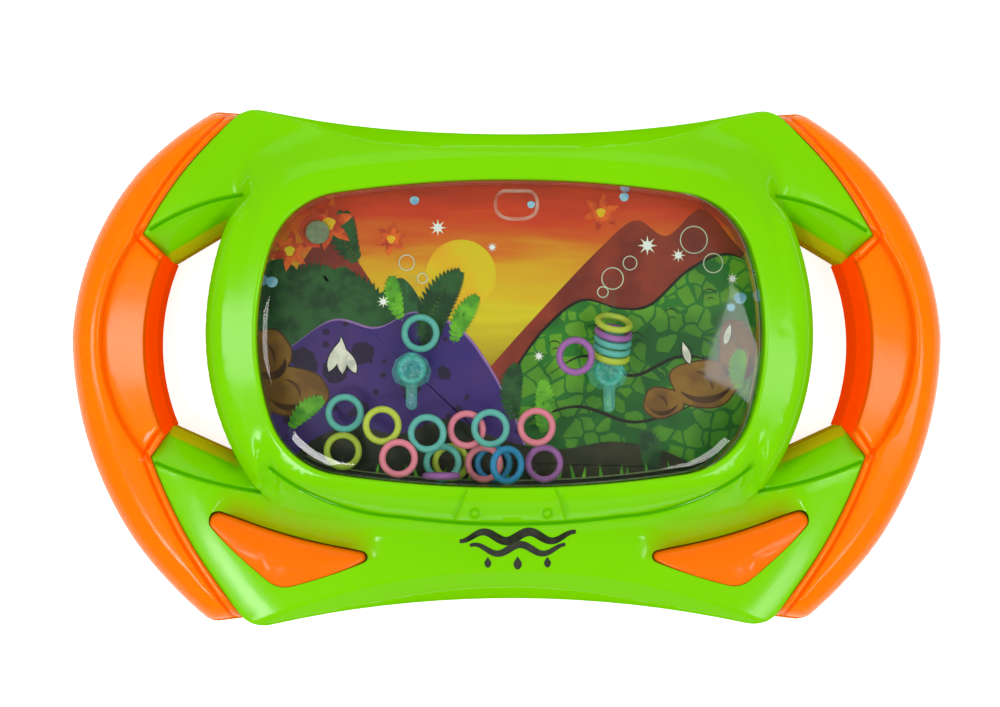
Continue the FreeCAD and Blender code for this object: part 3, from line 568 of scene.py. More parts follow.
def relief(
    name, loops, height, base, step, body, materials,
    lines=(), ledge=None, shade_tints=None, steep=WALL_STEEPNESS,
):
    """A moulded cover: a surface of varying height over an outline, with upright sides down to a base.

    loops are its outline and its holes. materials are its own and that of its steep faces.
    lines are features that get finer rows of points beside them, each with its row distances.
    A ledge is where the first hole steps outwards on its way down: its height and the wider outline.
    """
    flat, triangles, origin = filled(loops, cover_points(loops, step, lines))
    places = {source: index for index, found in enumerate(origin) for source in found}
    vertices = [(x * MM, y * MM, z * MM) for (x, y), z in zip(drawn_in(flat), height(flat))]
    faces = [tuple(int(i) for i in triangle) for triangle in triangles]
    rims, rim_loops_below = [], []
    start = 0
    for number, loop in enumerate(loops):
        previous = [places[start + i] for i in range(len(loop))]
        start += len(loop)
        steps = [(loop, base)]
        if number == 0:
            previous = previous[::-1]
            steps = [(loop[::-1], base + NOTCH), (offset(loop, -NOTCH)[::-1], base)]
        if number == 1 and ledge:
            ledge_height, wider = ledge
            steps = [(loop, ledge_height), (wider, ledge_height), (wider, base)]
        for outline, z in steps:
            first = len(vertices)
            vertices += [(x * MM, y * MM, z * MM) for x, y in outline]
            here = list(range(first, first + len(outline)))
            for i in range(len(here)):
                j = (i + 1) % len(here)
                faces.append((previous[i], here[i], here[j], previous[j]))
            previous = here
        rims += previous
        rim_loops_below.append(steps[-1][0])
    _, caps, origin = filled(rim_loops_below)
    faces += [tuple(rims[origin[i][0]] for i in cap[::-1]) for cap in caps]
    item = new_object(name, vertices, faces, body, materials)
    shell = bmesh.new()
    shell.from_mesh(item.data)
    bmesh.ops.recalc_face_normals(shell, faces=shell.faces)
    shell.to_mesh(item.data)
    shell.free()
    item.data.set_sharp_from_angle(angle=math.radians(SHARP))
    for polygon in item.data.polygons:
        polygon.material_index = int(abs(polygon.normal.z) < steep)
    spread = np.array(vertices)[:, :2] / MM
    spread[: len(flat)] = flat
    # Painted shade: each layer holds where a material's shaded colour takes over.
    for tint, strength in (shade_tints(spread) if shade_tints else {}).items():
        layer = item.data.attributes.new(tint, "FLOAT", "POINT")
        layer.data.foreach_set("value", np.clip(strength, 0.0, 1.0))
    return item


# Materials


class Tree:
    """A material's nodes, with short calls for the ones used here."""

    def __init__(self, name):
        self.material = bpy.data.materials.new(name)
        self.material.use_nodes = True
        self.nodes = self.material.node_tree.nodes
        self.links = self.material.node_tree.links
        self.nodes.clear()
        self.output = self.nodes.new("ShaderNodeOutputMaterial")
        self.place = self.nodes.new("ShaderNodeTexCoord").outputs["Object"]

    def add(self, kind, **inputs):
        node = self.nodes.new("ShaderNode" + kind)
        for name, value in inputs.items():
            self.feed(node, name.replace("_", " "), value)
        return node

    def feed(self, node, name, value):
        socket = node.inputs[int(name[1:])] if name[0] == "n" and name[1:].isdigit() else node.inputs[name]
        if isinstance(value, bpy.types.NodeSocket):
            self.links.new(value, socket)
        else:
            socket.default_value = value

    def noise(self, scale, detail=3.0, place=None, roughness=0.55):
        node = self.add("TexNoise", Scale=scale, Detail=detail, Roughness=roughness)
        self.links.new(place or self.place, node.inputs["Vector"])
        return node.outputs["Fac"]

    def cells(self, scale, feature="F1", place=None, randomness=1.0):
        node = self.nodes.new("ShaderNodeTexVoronoi")
        node.feature = feature
        node.inputs["Scale"].default_value = scale
        node.inputs["Randomness"].default_value = randomness
        self.links.new(place or self.place, node.inputs["Vector"])
        return node

    def math(self, kind, first, second=0.0, third=0.0, clamp=False):
        node = self.nodes.new("ShaderNodeMath")
        node.operation = kind
        node.use_clamp = clamp
        for index, value in enumerate((first, second, third)):
            self.feed(node, "n%d" % index, value)
        return node.outputs[0]

    def ramp(self, value, stops):
        node = self.nodes.new("ShaderNodeValToRGB")
        elements = node.color_ramp.elements
        while len(elements) < len(stops):
            elements.new(0.5)
        for element, (place, colour) in zip(elements, stops):
            element.position = place
            element.color = (*colour, 1.0) if len(colour) == 3 else colour
        self.links.new(value, node.inputs["Fac"])
        return node.outputs["Color"]

    def between(self, value, low, high, start=0.0, end=1.0):
        node = self.add("MapRange", Value=value)
        for name, number in zip(("From Min", "From Max", "To Min", "To Max"), (low, high, start, end)):
            node.inputs[name].default_value = number
        return node.outputs["Result"]

    def mix(self, share, first, second):
        node = self.nodes.new("ShaderNodeMix")
        node.data_type = "RGBA"
        for name, value in zip(("Factor", "A", "B"), (share, first, second)):
            kind = "VALUE" if name == "Factor" else "RGBA"
            socket = [s for s in node.inputs if s.name == name and s.type == kind][0]
            if isinstance(value, bpy.types.NodeSocket):
                self.links.new(value, socket)
            else:
                socket.default_value = value if name == "Factor" else (*value, 1.0)
        return [s for s in node.outputs if s.type == "RGBA"][0]

    def bump(self, height, strength, depth):
        node = self.add("Bump", Strength=strength, Distance=depth, Height=height)
        return node.outputs["Normal"]

    def axis(self, name):
        node = self.add("SeparateXYZ", Vector=self.place)
        return node.outputs[name]

    def finish(self, shader):
        self.links.new(shader.outputs[0], self.output.inputs["Surface"])
        return self.material


def linear(red, green, blue):
    """A colour given as 0 to 255 screen values."""
    values = (red, green, blue)
    return tuple(((v / 255 + 0.055) / 1.055) ** 2.4 if v > 10 else v / 255 / 12.92 for v in values)


def shade(colour, amount):
    return tuple(min(1.0, max(0.0, v * amount)) for v in colour)


def in_gap(tree, across, along):
    """One on the upright walls of the finger gaps, within two ranges of distance from their middle."""
    place = tree.add("SeparateXYZ", Vector=tree.place)
    off_middle = tree.math("SUBTRACT", place.outputs["Y"], GAP_MIDDLE * MM)
    normal = tree.add("SeparateXYZ", Vector=tree.nodes.new("ShaderNodeNewGeometry").outputs["Normal"])
    found = tree.between(tree.math("ABSOLUTE", normal.outputs["Z"]), 0.6, 0.4)
    for value, (low, high) in ((place.outputs["X"], across), (off_middle, along)):
        size = tree.math("ABSOLUTE", value)
        found = tree.math("MULTIPLY", found, tree.between(size, (low - 1) * MM, low * MM))
        found = tree.math("MULTIPLY", found, tree.between(size, (high + 1) * MM, high * MM))
    return found


def plastic(name, colour, shade_tints=None, rough=0.12, vary=0.03, gloss_level=0.19, glow=0.0, gap=None):
    """Glossy moulded plastic: faint flow marks in the colour, fine scuffs in the gloss.

    shade_tints are painted shade: the colours that take over where a layer of the mesh with the same name
    says so.
    glow is how much light spreads inside the plastic.
    gap is the colour painted on its walls in the finger gaps as shade and glow, the two ranges where these
    are, and the strength of their painted glow.
    """
    tree = Tree(name)
    flow = tree.noise(28.0, 2.0)
    tone = tree.mix(tree.between(flow, 0.3, 0.7), shade(colour, 1 - vary), shade(colour, 1 + vary))
    # Painted shade: each named layer of the mesh blends in its shaded colour.
    for tint, shaded_colour in (shade_tints or {}).items():
        layer = tree.nodes.new("ShaderNodeAttribute")
        layer.attribute_name = tint
        tone = tree.mix(layer.outputs["Fac"], tone, shaded_colour)
    # Painted shade and glow: the walls in the finger gaps take the painted gap colour.
    if gap:
        painted_gap_colour, across, along, light = gap
        wall = in_gap(tree, across, along)
        tone = tree.mix(wall, tone, painted_gap_colour)
    scuff = tree.noise(900.0, 4.0)
    gloss = tree.between(scuff, 0.35, 0.75, rough * 0.8, rough * 1.5)
    wave = tree.noise(60.0, 2.0)
    normal = tree.bump(wave, 0.10, 0.0006)
    shader = tree.add("BsdfPrincipled", Base_Color=tone, Roughness=gloss, Normal=normal)
    shader.inputs["Specular IOR Level"].default_value = gloss_level
    # Painted glow: the gap walls give off light in the gap colour, though they are no lamp.
    if gap and light:
        shader.inputs["Emission Color"].default_value = (*painted_gap_colour, 1.0)
        tree.feed(shader, "Emission Strength", tree.math("MULTIPLY", wall, light))
    if glow:
        shader.inputs["Subsurface Weight"].default_value = glow
        shader.inputs["Subsurface Radius"].default_value = GLOW_REACH
        shader.inputs["Subsurface Scale"].default_value = 1.0
    return tree.finish(shader)


def satin(name, colour, rough=0.42):
    """Soft satin plastic, as the rings have."""
    tree = Tree(name)
    cloud = tree.noise(350.0, 3.0)
    tone = tree.mix(tree.between(cloud, 0.3, 0.7), shade(colour, 0.93), shade(colour, 1.06))
    normal = tree.bump(tree.noise(1500.0, 2.0), 0.15, 0.0001)
    gloss = tree.between(cloud, 0.2, 0.8, rough * 0.85, rough * 1.15)
    shader = tree.add("BsdfPrincipled", Base_Color=tone, Roughness=gloss, Normal=normal)
    shader.inputs["Specular IOR Level"].default_value = 0.3
    return tree.finish(shader)


def clear(name, tint=(0.985, 0.995, 0.99), ior=1.45, speckle=0.0):
    """Thin clear plastic: it mirrors a little, more at a glancing view, and lets the rest through."""
    tree = Tree(name)
    ripple = tree.bump(tree.noise(40.0, 2.0), 0.05, 0.0005)
    haze = tree.between(tree.noise(500.0, 3.0), 0.3, 0.7, 0.02, 0.05)
    gloss = tree.add("BsdfGlossy", Roughness=haze, Normal=ripple)
    dust = tree.between(tree.noise(2500.0, 2.0), 0.68, 0.74, 0.0, speckle)
    through_colour = tree.mix(dust, tint, (0.85, 0.85, 0.85))
    passing = tree.add("BsdfTransparent", Color=through_colour)
    outer_side = tree.math("SUBTRACT", 1.0, tree.nodes.new("ShaderNodeNewGeometry").outputs["Backfacing"])
    share = tree.math("MULTIPLY", tree.add("Fresnel", IOR=ior).outputs[0], outer_side)
    both = tree.add("MixShader", n0=share, n1=passing.outputs[0], n2=gloss.outputs[0])
    return tree.finish(both)


def tinted(name, tint, milk, share):
    """Translucent plastic: part see-through with a tint, part milky."""
    tree = Tree(name)
    cloud = tree.noise(700.0, 3.0)
    tone = tree.mix(cloud, shade(milk, 0.85), shade(milk, 1.1))
    body = tree.add("BsdfPrincipled", Base_Color=tone, Roughness=0.12)
    passing = tree.add("BsdfTransparent", Color=(*tint, 1.0))
    amount = tree.between(cloud, 0.3, 0.7, share * 0.85, share * 1.15)
    both = tree.add("MixShader", n0=amount, n1=passing.outputs[0], n2=body.outputs[0])
    return tree.finish(both)


def steel():
    tree = Tree("screw_steel")
    marks = tree.noise(2500.0, 4.0)
    shader = tree.add("BsdfPrincipled", Base_Color=tree.mix(marks, (0.5, 0.5, 0.5), (0.68, 0.68, 0.68)))
    tree.feed(shader, "Roughness", tree.between(marks, 0.3, 0.7, 0.25, 0.45))
    shader.inputs["Metallic"].default_value = 1.0
    return tree.finish(shader)


GREEN = linear(122, 210, 0)
# Painted shade on the green: olive in the dips above the buttons, a deeper green in grooves, olive on the
# struts' side walls
PAINTED_SCOOP_OLIVE = linear(156, 164, 0)
PAINTED_WALL_OLIVE = linear(205, 200, 15)
PAINTED_GROOVE_GREEN = linear(76, 176, 0)
GREEN_SHADE_TINTS = {"painted_warm_shade": PAINTED_SCOOP_OLIVE, "dark": PAINTED_GROOVE_GREEN, "wall": PAINTED_WALL_OLIVE}
ORANGE = linear(255, 126, 0)
# Painted shade on the orange: a red-orange in the grooves, at the seam and on the gap walls, and a redder
# matt orange for the walls and back halves
PAINTED_SHADE_RED_ORANGE = linear(255, 84, 0)
MATT_SHADED_ORANGE = linear(255, 104, 0)
BUTTON_ORANGE = linear(255, 112, 0)

# Painted light on the walls in the finger gaps: the painted colour, ranges in millimetres across and along,
# and the strength of a painted glow that stands in for light coming through the plastic
GAP_MIDDLE = 6.0
ORANGE_GAP_GLOW = (linear(255, 66, 0), (70.0, 95.0), (-5.0, 26.0), 0.42)
GREEN_GAP_SHADE = (PAINTED_WALL_OLIVE, (66.0, 88.0), (19.0, 33.0), 0.0)

# How far light spreads inside the orange plastic, in metres of red, green and blue light
GLOW_REACH = (0.004, 0.0012, 0.0004)

RING_COLOURS = {
    "ring_teal": linear(96, 178, 168),
    "ring_pink": linear(226, 128, 146),
    "ring_lime": linear(184, 200, 70),
    "ring_purple": linear(160, 100, 168),
    "ring_blue": linear(44, 130, 176),
}


# Casing


WINDOW_LOOP = resampled(rounded_loop(**WINDOW), 0.8)
BEZEL_LOOP = resampled(rounded_loop(**BEZEL), 0.8)
BODY_LOOP = resampled(rim_loops("front_shell", PARTING)[0], 0.8)
BUTTON_LOOP = resampled(rim_loops("button_right", BUTTON_FLANGE)[1], 0.6)
UPPER_LINE = arc(*UPPER_GROOVE, 0.5)
LOWER_LINE = arc(*LOWER_GROOVE, 0.5)
SIDE_LINE = arc(*BEZEL_GROOVE[:3], 0.5)
FOOT_LINE = arc(BEZEL_GROOVE[2], BEZEL_GROOVE[3], (-BEZEL_GROOVE[2][0], BEZEL_GROOVE[2][1]), 0.5)


def part_of_body(least_x, most_x, middle_y, least_away, most_away):
    """The points of the body's outline within a range across, and one of distance from a height."""
    x, away = BODY_LOOP[:, 0], np.abs(BODY_LOOP[:, 1] - middle_y)
    return BODY_LOOP[(x > least_x) & (x < most_x) & (away > least_away) & (away < most_away)]


# The body's outline in the right finger gap, and where the right handle meets it above and below
GAP_LINE = part_of_body(62.0, 85.25, 7.0, -1.0, 31.0)
SEAM_LINE = part_of_body(66.0, 200.0, 6.0, 20.0, 200.0)
SEAM_LINE = SEAM_LINE[(SEAM_LINE[:, 0] > 78.0) | (np.abs(SEAM_LINE[:, 1] - 6.0) > 36.0)]


def shell_height(flat):
    """Height of the green front over each point."""
    points = np.column_stack([np.abs(flat[:, 0]), flat[:, 1]])
    x, y = points.T
    to_window = distance(points, WINDOW_LOOP, True)
    in_bezel = inside(points, BEZEL_LOOP)
    to_bezel = distance(points, BEZEL_LOOP, True) * np.where(in_bezel, 1, -1)
    to_seam = distance(points, SEAM_LINE)
    panel = panel_height(points)
    wall = WALL_FOOT + WALL_SLOPE * distance(points, GAP_LINE)
    panel = np.where(in_bezel, panel, soft_least(panel, wall, WALL_BEND))

    crown = BEZEL_TOP - BEZEL_TILT * to_window
    crisp = crown - rounding(to_bezel, BEZEL_ROUND)
    gentle = panel + (crown - panel) * (1 - fade(to_window, *GENTLE_RUN))
    foot = panel + (crown - panel) * fade(to_bezel, *FOOT_RUN)
    above = fade(y, *UPPER_HALF)
    soft = above * gentle + (1 - above) * foot
    side = np.where(y > WINDOW_RISE, fade(x, *CRISP_ABOVE), fade(x, *CRISP_BELOW))
    within = side * crisp + (1 - side) * soft
    outside = side * panel + (1 - side) * soft
    outside = outside - SEAM_CROWN * np.clip(1 - to_seam / SEAM_CROWN_WIDTH, 0, 1) ** 2
    edge_round = EDGE_ROUND[0] + EDGE_ROUND[1] * fade(to_seam, *EDGE_ROUND_RUN)
    outside = outside - rounding(distance(points, BODY_LOOP, True), edge_round)

    level = np.where(in_bezel, within, outside) - rounding(to_window, LIP_ROUND)
    level = level - GROOVE_DEPTH * near_grooves(points, GROOVE_WIDTH) - scoop(points)
    tab = smooth(tab_reach(points) / 0.9 + 0.5) * (y < TAB_START) * fade(y, TAB_BOTTOM[1] - 0.6, 0.5)
    rivet = from_rivet(points)
    return level + TAB_LIFT * tab - 0.3 * ridge(rivet, RIVET_RADIUS, 0.3) + 0.12 * ridge(rivet, 0.0, 0.5)


def panel_height(points):
    """Height of the casing's flat face, with its bevels and the facets of the struts."""
    x, y = points.T
    panel = PANEL_TOP - PANEL_FALL * (x / PANEL_REACH) ** 2
    for turn, slopes in ((1, UPPER_BEVEL), (-1, LOWER_BEVEL)):
        for radius, slope in slopes:
            past = radius - np.hypot(x, y - turn * BEVEL_CENTRE)
            panel = panel - slope * soft_over(past, FACE_BEND)
    for turn, line, half in ((-1, UPPER_LINE, y > FACET_DIVIDE), (1, LOWER_LINE, y <= FACET_DIVIDE)):
        past = turn * above_arc(points, line)
        on_facet = (x > FACET_START) & half & (past > -FACET_BACK)
        panel = panel - FACET_SLOPE * soft_over(past, FACE_BEND) * on_facet
    return panel


def shell_shade_tints(flat):
    """Painted shade on the green: olive in the dips above the buttons, a deeper green in the grooves and
    round the tab and rivets, and olive on the struts' side walls.
    """
    points = np.column_stack([np.abs(flat[:, 0]), flat[:, 1]])
    off_bezel = fade(distance(points, BEZEL_LOOP, True), 0.5, 1.0) * ~inside(points, BEZEL_LOOP)
    wall = (1 - fade(distance(points, GAP_LINE), 2.0, 0.5)) * off_bezel
    scoop_shade = (scoop(points) / SCOOP_DEPTH) ** 0.7
    groove_shade = near_grooves(points, GROOVE_WIDTH * 1.2)
    on_tab = (points[:, 1] < TAB_TOP[1]) & (points[:, 1] > TAB_BOTTOM[1] + 0.2)
    beside_tab = ridge(tab_reach(points), -0.45, 0.4) * on_tab
    marks = np.maximum(0.6 * ridge(from_rivet(points), RIVET_RADIUS, 0.35), 0.4 * beside_tab)
    return {"painted_warm_shade": scoop_shade, "dark": np.maximum(groove_shade, marks), "wall": wall}


def near_grooves(points, width):
    """One on the casing's grooves, and zero away from them."""
    lines = (UPPER_LINE, LOWER_LINE, SIDE_LINE, FOOT_LINE)
    return np.max([ridge(distance(points, line), 0.0, width) for line in lines], axis=0)


def tab_reach(points):
    """Distance inside the slanted side edge of the tab under the window."""
    share = (TAB_TOP[1] - points[:, 1]) / (TAB_TOP[1] - TAB_BOTTOM[1])
    return TAB_TOP[0] + (TAB_BOTTOM[0] - TAB_TOP[0]) * share - points[:, 0]


def from_rivet(points):
    return np.hypot(points[:, 0] - RIVET_PLACE[0], points[:, 1] - RIVET_PLACE[1])


def button_frame(points):
    """Distance below the line between a button's tips, and the share of that line at each point."""
    outer, inner = np.array(BUTTON_TIPS)
    chord = inner - outer
    length = np.linalg.norm(chord)
    below = (points - outer) @ np.array([-chord[1], chord[0]]) / length
    return below, (points - outer) @ chord / length**2


def scoop(points):
    """The dip in the panel that leads down to a button's upper edge."""
    below, along = button_frame(points)
    away = distance(points, BUTTON_LOOP, True) * ~inside(points, BUTTON_LOOP)
    ends = fade(along, -0.03, 0.2) * (1 - fade(along, 0.84, 0.24))
    return SCOOP_DEPTH * ends * np.clip(1 - away / SCOOP_WIDTH, 0, 1) ** 1.7 * fade(-below, -1.0, 1.5)


def shell_lines():
    """The front shell's features, each with the distances of the rows of points beside it."""
    groove_rows = (-0.75, -0.45, -0.2, 0.0, 0.2, 0.45, 0.75)
    lines = []
    for line in (UPPER_LINE, LOWER_LINE, SIDE_LINE):
        lines += [(line, groove_rows), (mirror(line), groove_rows)]
    lines += [(FOOT_LINE, groove_rows), (BEZEL_LOOP, (-0.5, -0.12, 0.12, 0.5, 1.0))]
    angles = np.linspace(-BEVEL_TURN, BEVEL_TURN, 180)
    for turn, slopes in ((1, UPPER_BEVEL), (-1, LOWER_BEVEL)):
        for radius, _ in slopes:
            y = turn * (BEVEL_CENTRE - radius * np.cos(angles))
            lines.append((np.column_stack([radius * np.sin(angles), y]), (-0.8, -0.35, 0.0, 0.35, 0.8)))
    for amount in (1.7, 2.0, 2.25, 2.5, 2.8, 3.3):
        lines += [(GAP_LINE, (-amount,)), (mirror(GAP_LINE), (amount,))]
    angles = np.linspace(0, 2 * math.pi, 25)
    for turn in (-1, 1):
        for radius in RIVET_ROWS:
            circle = np.column_stack([np.cos(angles), np.sin(angles)]) * radius
            lines.append((circle + (turn * RIVET_PLACE[0], RIVET_PLACE[1]), (0.0,)))
        top, bottom = np.array([TAB_TOP, TAB_BOTTOM]) * (turn, 1)
        lines.append((top + (bottom - top) * np.linspace(0, 1, 20)[:, None], (-0.5, -0.2, 0.1, 0.4)))
    return lines


def front_shell():
    upper_side = fade(-button_frame(BUTTON_LOOP)[0], -2.0, 2.0)[:, None]
    hole = offset(BUTTON_LOOP, BUTTON_GAP) * upper_side + offset(BUTTON_LOOP, LOWER_GAP) * (1 - upper_side)
    hole = resampled(hole, 0.6)
    item = relief(
        "green_front",
        [BODY_LOOP, WINDOW_LOOP, hole, resampled(mirror(hole), 0.6)],
        shell_height,
        PARTING - HALF_OVERLAP,
        1.25,
        "casing",
        [
            plastic("green_shell", GREEN, GREEN_SHADE_TINTS),
            plastic("green_wall", GREEN, GREEN_SHADE_TINTS, rough=0.5, gloss_level=0.0),
        ],
        lines=shell_lines(),
        ledge=(LIP_BOTTOM, offset(WINDOW_LOOP, POCKET_OFFSET)),
        shade_tints=shell_shade_tints,
        steep=BEVEL_STEEPNESS,
    )
    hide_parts("front_shell")


def handle_front(side):
    turn = -1 if side == "left" else 1
    node = "handle_%s_front" % side
    right = resampled(rim_loops(node, PARTING)[0], 0.7) * (turn, 1)
    to_seam = distance(right, BODY_LOOP, True)
    at_seam = to_seam < SEAM_NEAR
    inward = BODY_LOOP[[((BODY_LOOP - point) ** 2).sum(axis=1).argmin() for point in right[at_seam]]]
    right[at_seam] += (inward - right[at_seam]) * SEAM_CLOSING
    gap_arc = arc(*GAP_ARC, 0.5)
    groove = arc(*GRIP_GROOVE, 0.5)
    outer = right[~at_seam & (distance(right, gap_arc) > 0.6)]

    def height(flat):
        points = flat * (turn, 1)
        y = points[:, 1]
        to_outer = nearest(points, outer)
        to_gap = distance(points, gap_arc)
        to_body = distance(points, BODY_LOOP, True)
        crown_drop, crown_reach = HANDLE_CROWN
        band = HANDLE_TOP - rounding(to_outer, HANDLE_ROUND)
        band = band - crown_drop * np.clip(1 - to_outer / crown_reach, 0, 1)
        within = fade(-outside_arc(points, groove), -0.2, 1.1) * (to_gap < GRIP_REACH)
        within = within * fade(to_body, *PAD_START)
        pad = HANDLE_TOP - PAD_DROP - PAD_TILT * to_gap
        pad = soft_least(pad, WALL_FOOT + GAP_WALL_SLOPE * to_gap, FACE_BEND)
        low = (to_gap < GAP_WALL_WIDTH) & (y > GAP_WALL_ENDS[0]) & (y < GAP_WALL_ENDS[1])
        level = band * (1 - within) + pad * within
        level = np.where(low, np.minimum(level, pad), level)
        level = level - GRIP_DEPTH * ridge(distance(points, groove), 0.0, GRIP_WIDTH)
        level = level - SEAM_DEPTH * ridge(to_body, SEAM_GROOVE, SEAM_WIDTH)
        return level - rounding(to_body, SEAM_ROUND)

    # Painted shade: a deeper red-orange on the steep wall at the finger gap, in the grip and seam grooves and
    # along the seam
    def shade_tints(flat):
        points = flat * (turn, 1)
        to_body = distance(points, BODY_LOOP, True)
        in_grip_groove = ridge(distance(points, groove), 0.0, GRIP_WIDTH * 1.25)
        in_seam_groove = ridge(to_body, SEAM_GROOVE, SEAM_WIDTH * 1.25)
        at_seam = ridge(to_body, 0.0, 0.6)
        wall = 1 - fade(distance(points, gap_arc), 2.3, 1.0)
        return {"painted_warm_shade": np.maximum(wall, 0.75 * np.max([in_grip_groove, in_seam_groove, at_seam], axis=0))}

    lines = [(groove * (turn, 1), (-1.1, -0.75, -0.45, -0.2, 0.0, 0.2, 0.45, 0.75, 1.1))]
    for amount in (1.3, 1.6, 1.85, 2.1, 2.4, 2.8):
        row = offset(BODY_LOOP, amount)
        lines.append((row[distance(row, BODY_LOOP, True) > 0.9 * amount], (0.0,)))
    lines.append((gap_arc * (turn, 1), (0.3, 0.8, 1.4, 2.1, 2.8, 3.4, -0.3, -0.8, -1.4, -2.1, -2.8, -3.4)))
    item = relief(
        "grip_%s_front" % side,
        [right * (turn, 1)],
        height,
        PARTING - HALF_OVERLAP,
        1.1,
        "casing",
        [MATERIALS["orange_front"], MATERIALS["orange_wall"]],
        lines=lines,
        shade_tints=shade_tints,
    )
    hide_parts(node)


def nearest(points, cloud):
    """Distance to the nearest of many points."""
    found = np.empty(len(points))
    for low in range(0, len(points), 4000):
        gap = points[low : low + 4000, None, :] - cloud[None]
        found[low : low + 4000] = np.sqrt((gap**2).sum(axis=2).min(axis=1))
    return found


def button(side):
    turn = -1 if side == "left" else 1

    def height(flat):
        """A face that falls towards the button's upper edge, with a faint ridge and rounded edges."""
        points = flat * (turn, 1)
        to_edge = distance(points, BUTTON_LOOP, True)
        below, along = button_frame(points)
        fall = np.clip(1 - below / BUTTON_FALL_REACH, 0, 1.4) ** 1.6
        level = BUTTON_TOP - BUTTON_CROWN - BUTTON_FALL * fall
        level = level + BUTTON_CROWN * np.clip(to_edge / BUTTON_CROWN_REACH, 0, 1) ** 0.6
        level = level + BUTTON_RIDGE * ridge(along, 0.42, 0.05) * fade(below, 3.0, 4.0)
        edge_round = 0.35 + 0.65 * fade(-below, -4.0, 3.0)
        return np.minimum(level - rounding(to_edge, edge_round), BUTTON_TOP)

    item = relief(
        "thumb_button_" + side,
        [resampled(BUTTON_LOOP * (turn, 1), 0.6)],
        height,
        BUTTON_BASE,
        0.8,
        "button_" + side,
        [MATERIALS["button_plastic"], MATERIALS["orange_wall"]],
    )
    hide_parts("button_" + side)


# The orange walls and back halves take painted shade in a redder orange; on the walls in the finger gaps the
# orange takes a painted red-orange glow and the green back shell a painted olive shade.
MATERIALS = {
    "orange_front": plastic("orange_grip", ORANGE, {"painted_warm_shade": PAINTED_SHADE_RED_ORANGE}, glow=0.4),
    "orange_wall": plastic("orange_wall", MATT_SHADED_ORANGE, rough=0.5, gloss_level=0.0, glow=0.6, gap=ORANGE_GAP_GLOW),
    "orange_plastic": plastic(
        "orange_back", MATT_SHADED_ORANGE, rough=0.5, gloss_level=0.0, glow=0.4, gap=ORANGE_GAP_GLOW
    ),
    "button_plastic": plastic("orange_button", BUTTON_ORANGE, {"painted_warm_shade": PAINTED_SHADE_RED_ORANGE}, rough=0.16),
    "green_plastic": plastic("green_back", GREEN, rough=0.5, gloss_level=0.0, glow=0.2, gap=GREEN_GAP_SHADE),
    "white_plastic": plastic("white_cup", (0.8, 0.8, 0.78)),
    "rubber": satin("pale_rubber", (0.7, 0.68, 0.62), rough=0.55),
    "clear_plastic": clear("tank_clear", speckle=0.15),
    "plug_plastic": tinted("plug_soft", (0.75, 0.9, 0.8), linear(150, 168, 140), 0.75),
    "steel": steel(),
}
MATERIALS.update({slot: satin(slot, colour) for slot, colour in RING_COLOURS.items()})


def peg_material(name, x, y):
    """Clear plastic with a teal tint that is strong in the round boss, which is centred at x, y.

    The ranges of distance from its middle and of height, in metres, are where the tint fades.
    """
    tree = Tree(name)
    place = tree.add("SeparateXYZ", Vector=tree.place)
    across = tree.math("SUBTRACT", place.outputs["X"], x * MM)
    up = tree.math("SUBTRACT", place.outputs["Y"], y * MM)
    reach = tree.math("SQRT", tree.math("ADD", tree.math("POWER", across, 2.0), tree.math("POWER", up, 2.0)))
    height = place.outputs["Z"]
    boss = tree.math("MULTIPLY", tree.between(reach, 0.0041, 0.0036), tree.between(height, 0.0181, 0.0190))
    lower = tree.math("MAXIMUM", tree.between(up, -0.0030, -0.0045), tree.between(height, 0.0165, 0.0158))
    cloud = tree.noise(900.0, 4.0)
    body = tree.add(
        "BsdfPrincipled",
        Base_Color=tree.mix(tree.between(cloud, 0.35, 0.65), linear(60, 190, 180), linear(160, 236, 226)),
        Roughness=0.08,
    )
    passing = tree.add("BsdfTransparent", Color=tree.mix(boss, (0.97, 1.0, 0.99), (0.55, 0.97, 0.93)))
    edge = tree.add("LayerWeight", Blend=0.3).outputs["Facing"]
    rim = tree.math("MULTIPLY", edge, tree.between(lower, 0.0, 1.0, 0.10, 0.45))
    amount = tree.math("ADD", tree.math("MULTIPLY", boss, 0.34), rim)
    amount = tree.math("ADD", amount, tree.math("MULTIPLY", lower, 0.2), clamp=True)
    both = tree.add("MixShader", n0=amount, n1=passing.outputs[0], n2=body.outputs[0])
    return tree.finish(both)


def paint_nodes():
    slots = {entry["node"]: entry["material_slot"] for entry in RECORD["subparts"]}
    for name, node in NODES.items():
        material = MATERIALS.get(slots[name])
        if name.startswith("peg_"):
            low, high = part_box(name)
            middle = (low.x + high.x) / 2 / MM
            material = peg_material(name + "_clear", middle, (low.y + (high.y - low.y) * BOSS_SHARE) / MM)
        if material is None:
            continue
        node.data.materials.clear()
        node.data.materials.append(material)


# Picture card: a print of flat shapes, layer on layer


def slab_mesh(outlines, low, high):
    """Thin closed plates, one for each outline."""
    vertices, faces = [], []
    for number, outline in enumerate(outlines):
        if area_of(outline) < 0:
            outline = outline[::-1]
        start, count = len(vertices), len(outline)
        top = high + LAYER_STEP * (number % LAYER_STEPS)
        vertices += [(x * MM, y * MM, top * MM) for x, y in outline]
        vertices += [(x * MM, y * MM, low * MM) for x, y in outline]
        faces.append(tuple(range(start, start + count)))
        faces.append(tuple(reversed(range(start + count, start + 2 * count))))
        for i in range(count):
            j = (i + 1) % count
            faces.append((start + i, start + count + i, start + count + j, start + j))
    return vertices, faces


def printed(name, outlines, layer, material):
    low = CARD_TOP + (layer - 1) * LAYER
    vertices, faces = slab_mesh(outlines, low, CARD_TOP + layer * LAYER)
    return new_object(name, vertices, faces, "casing", [material])


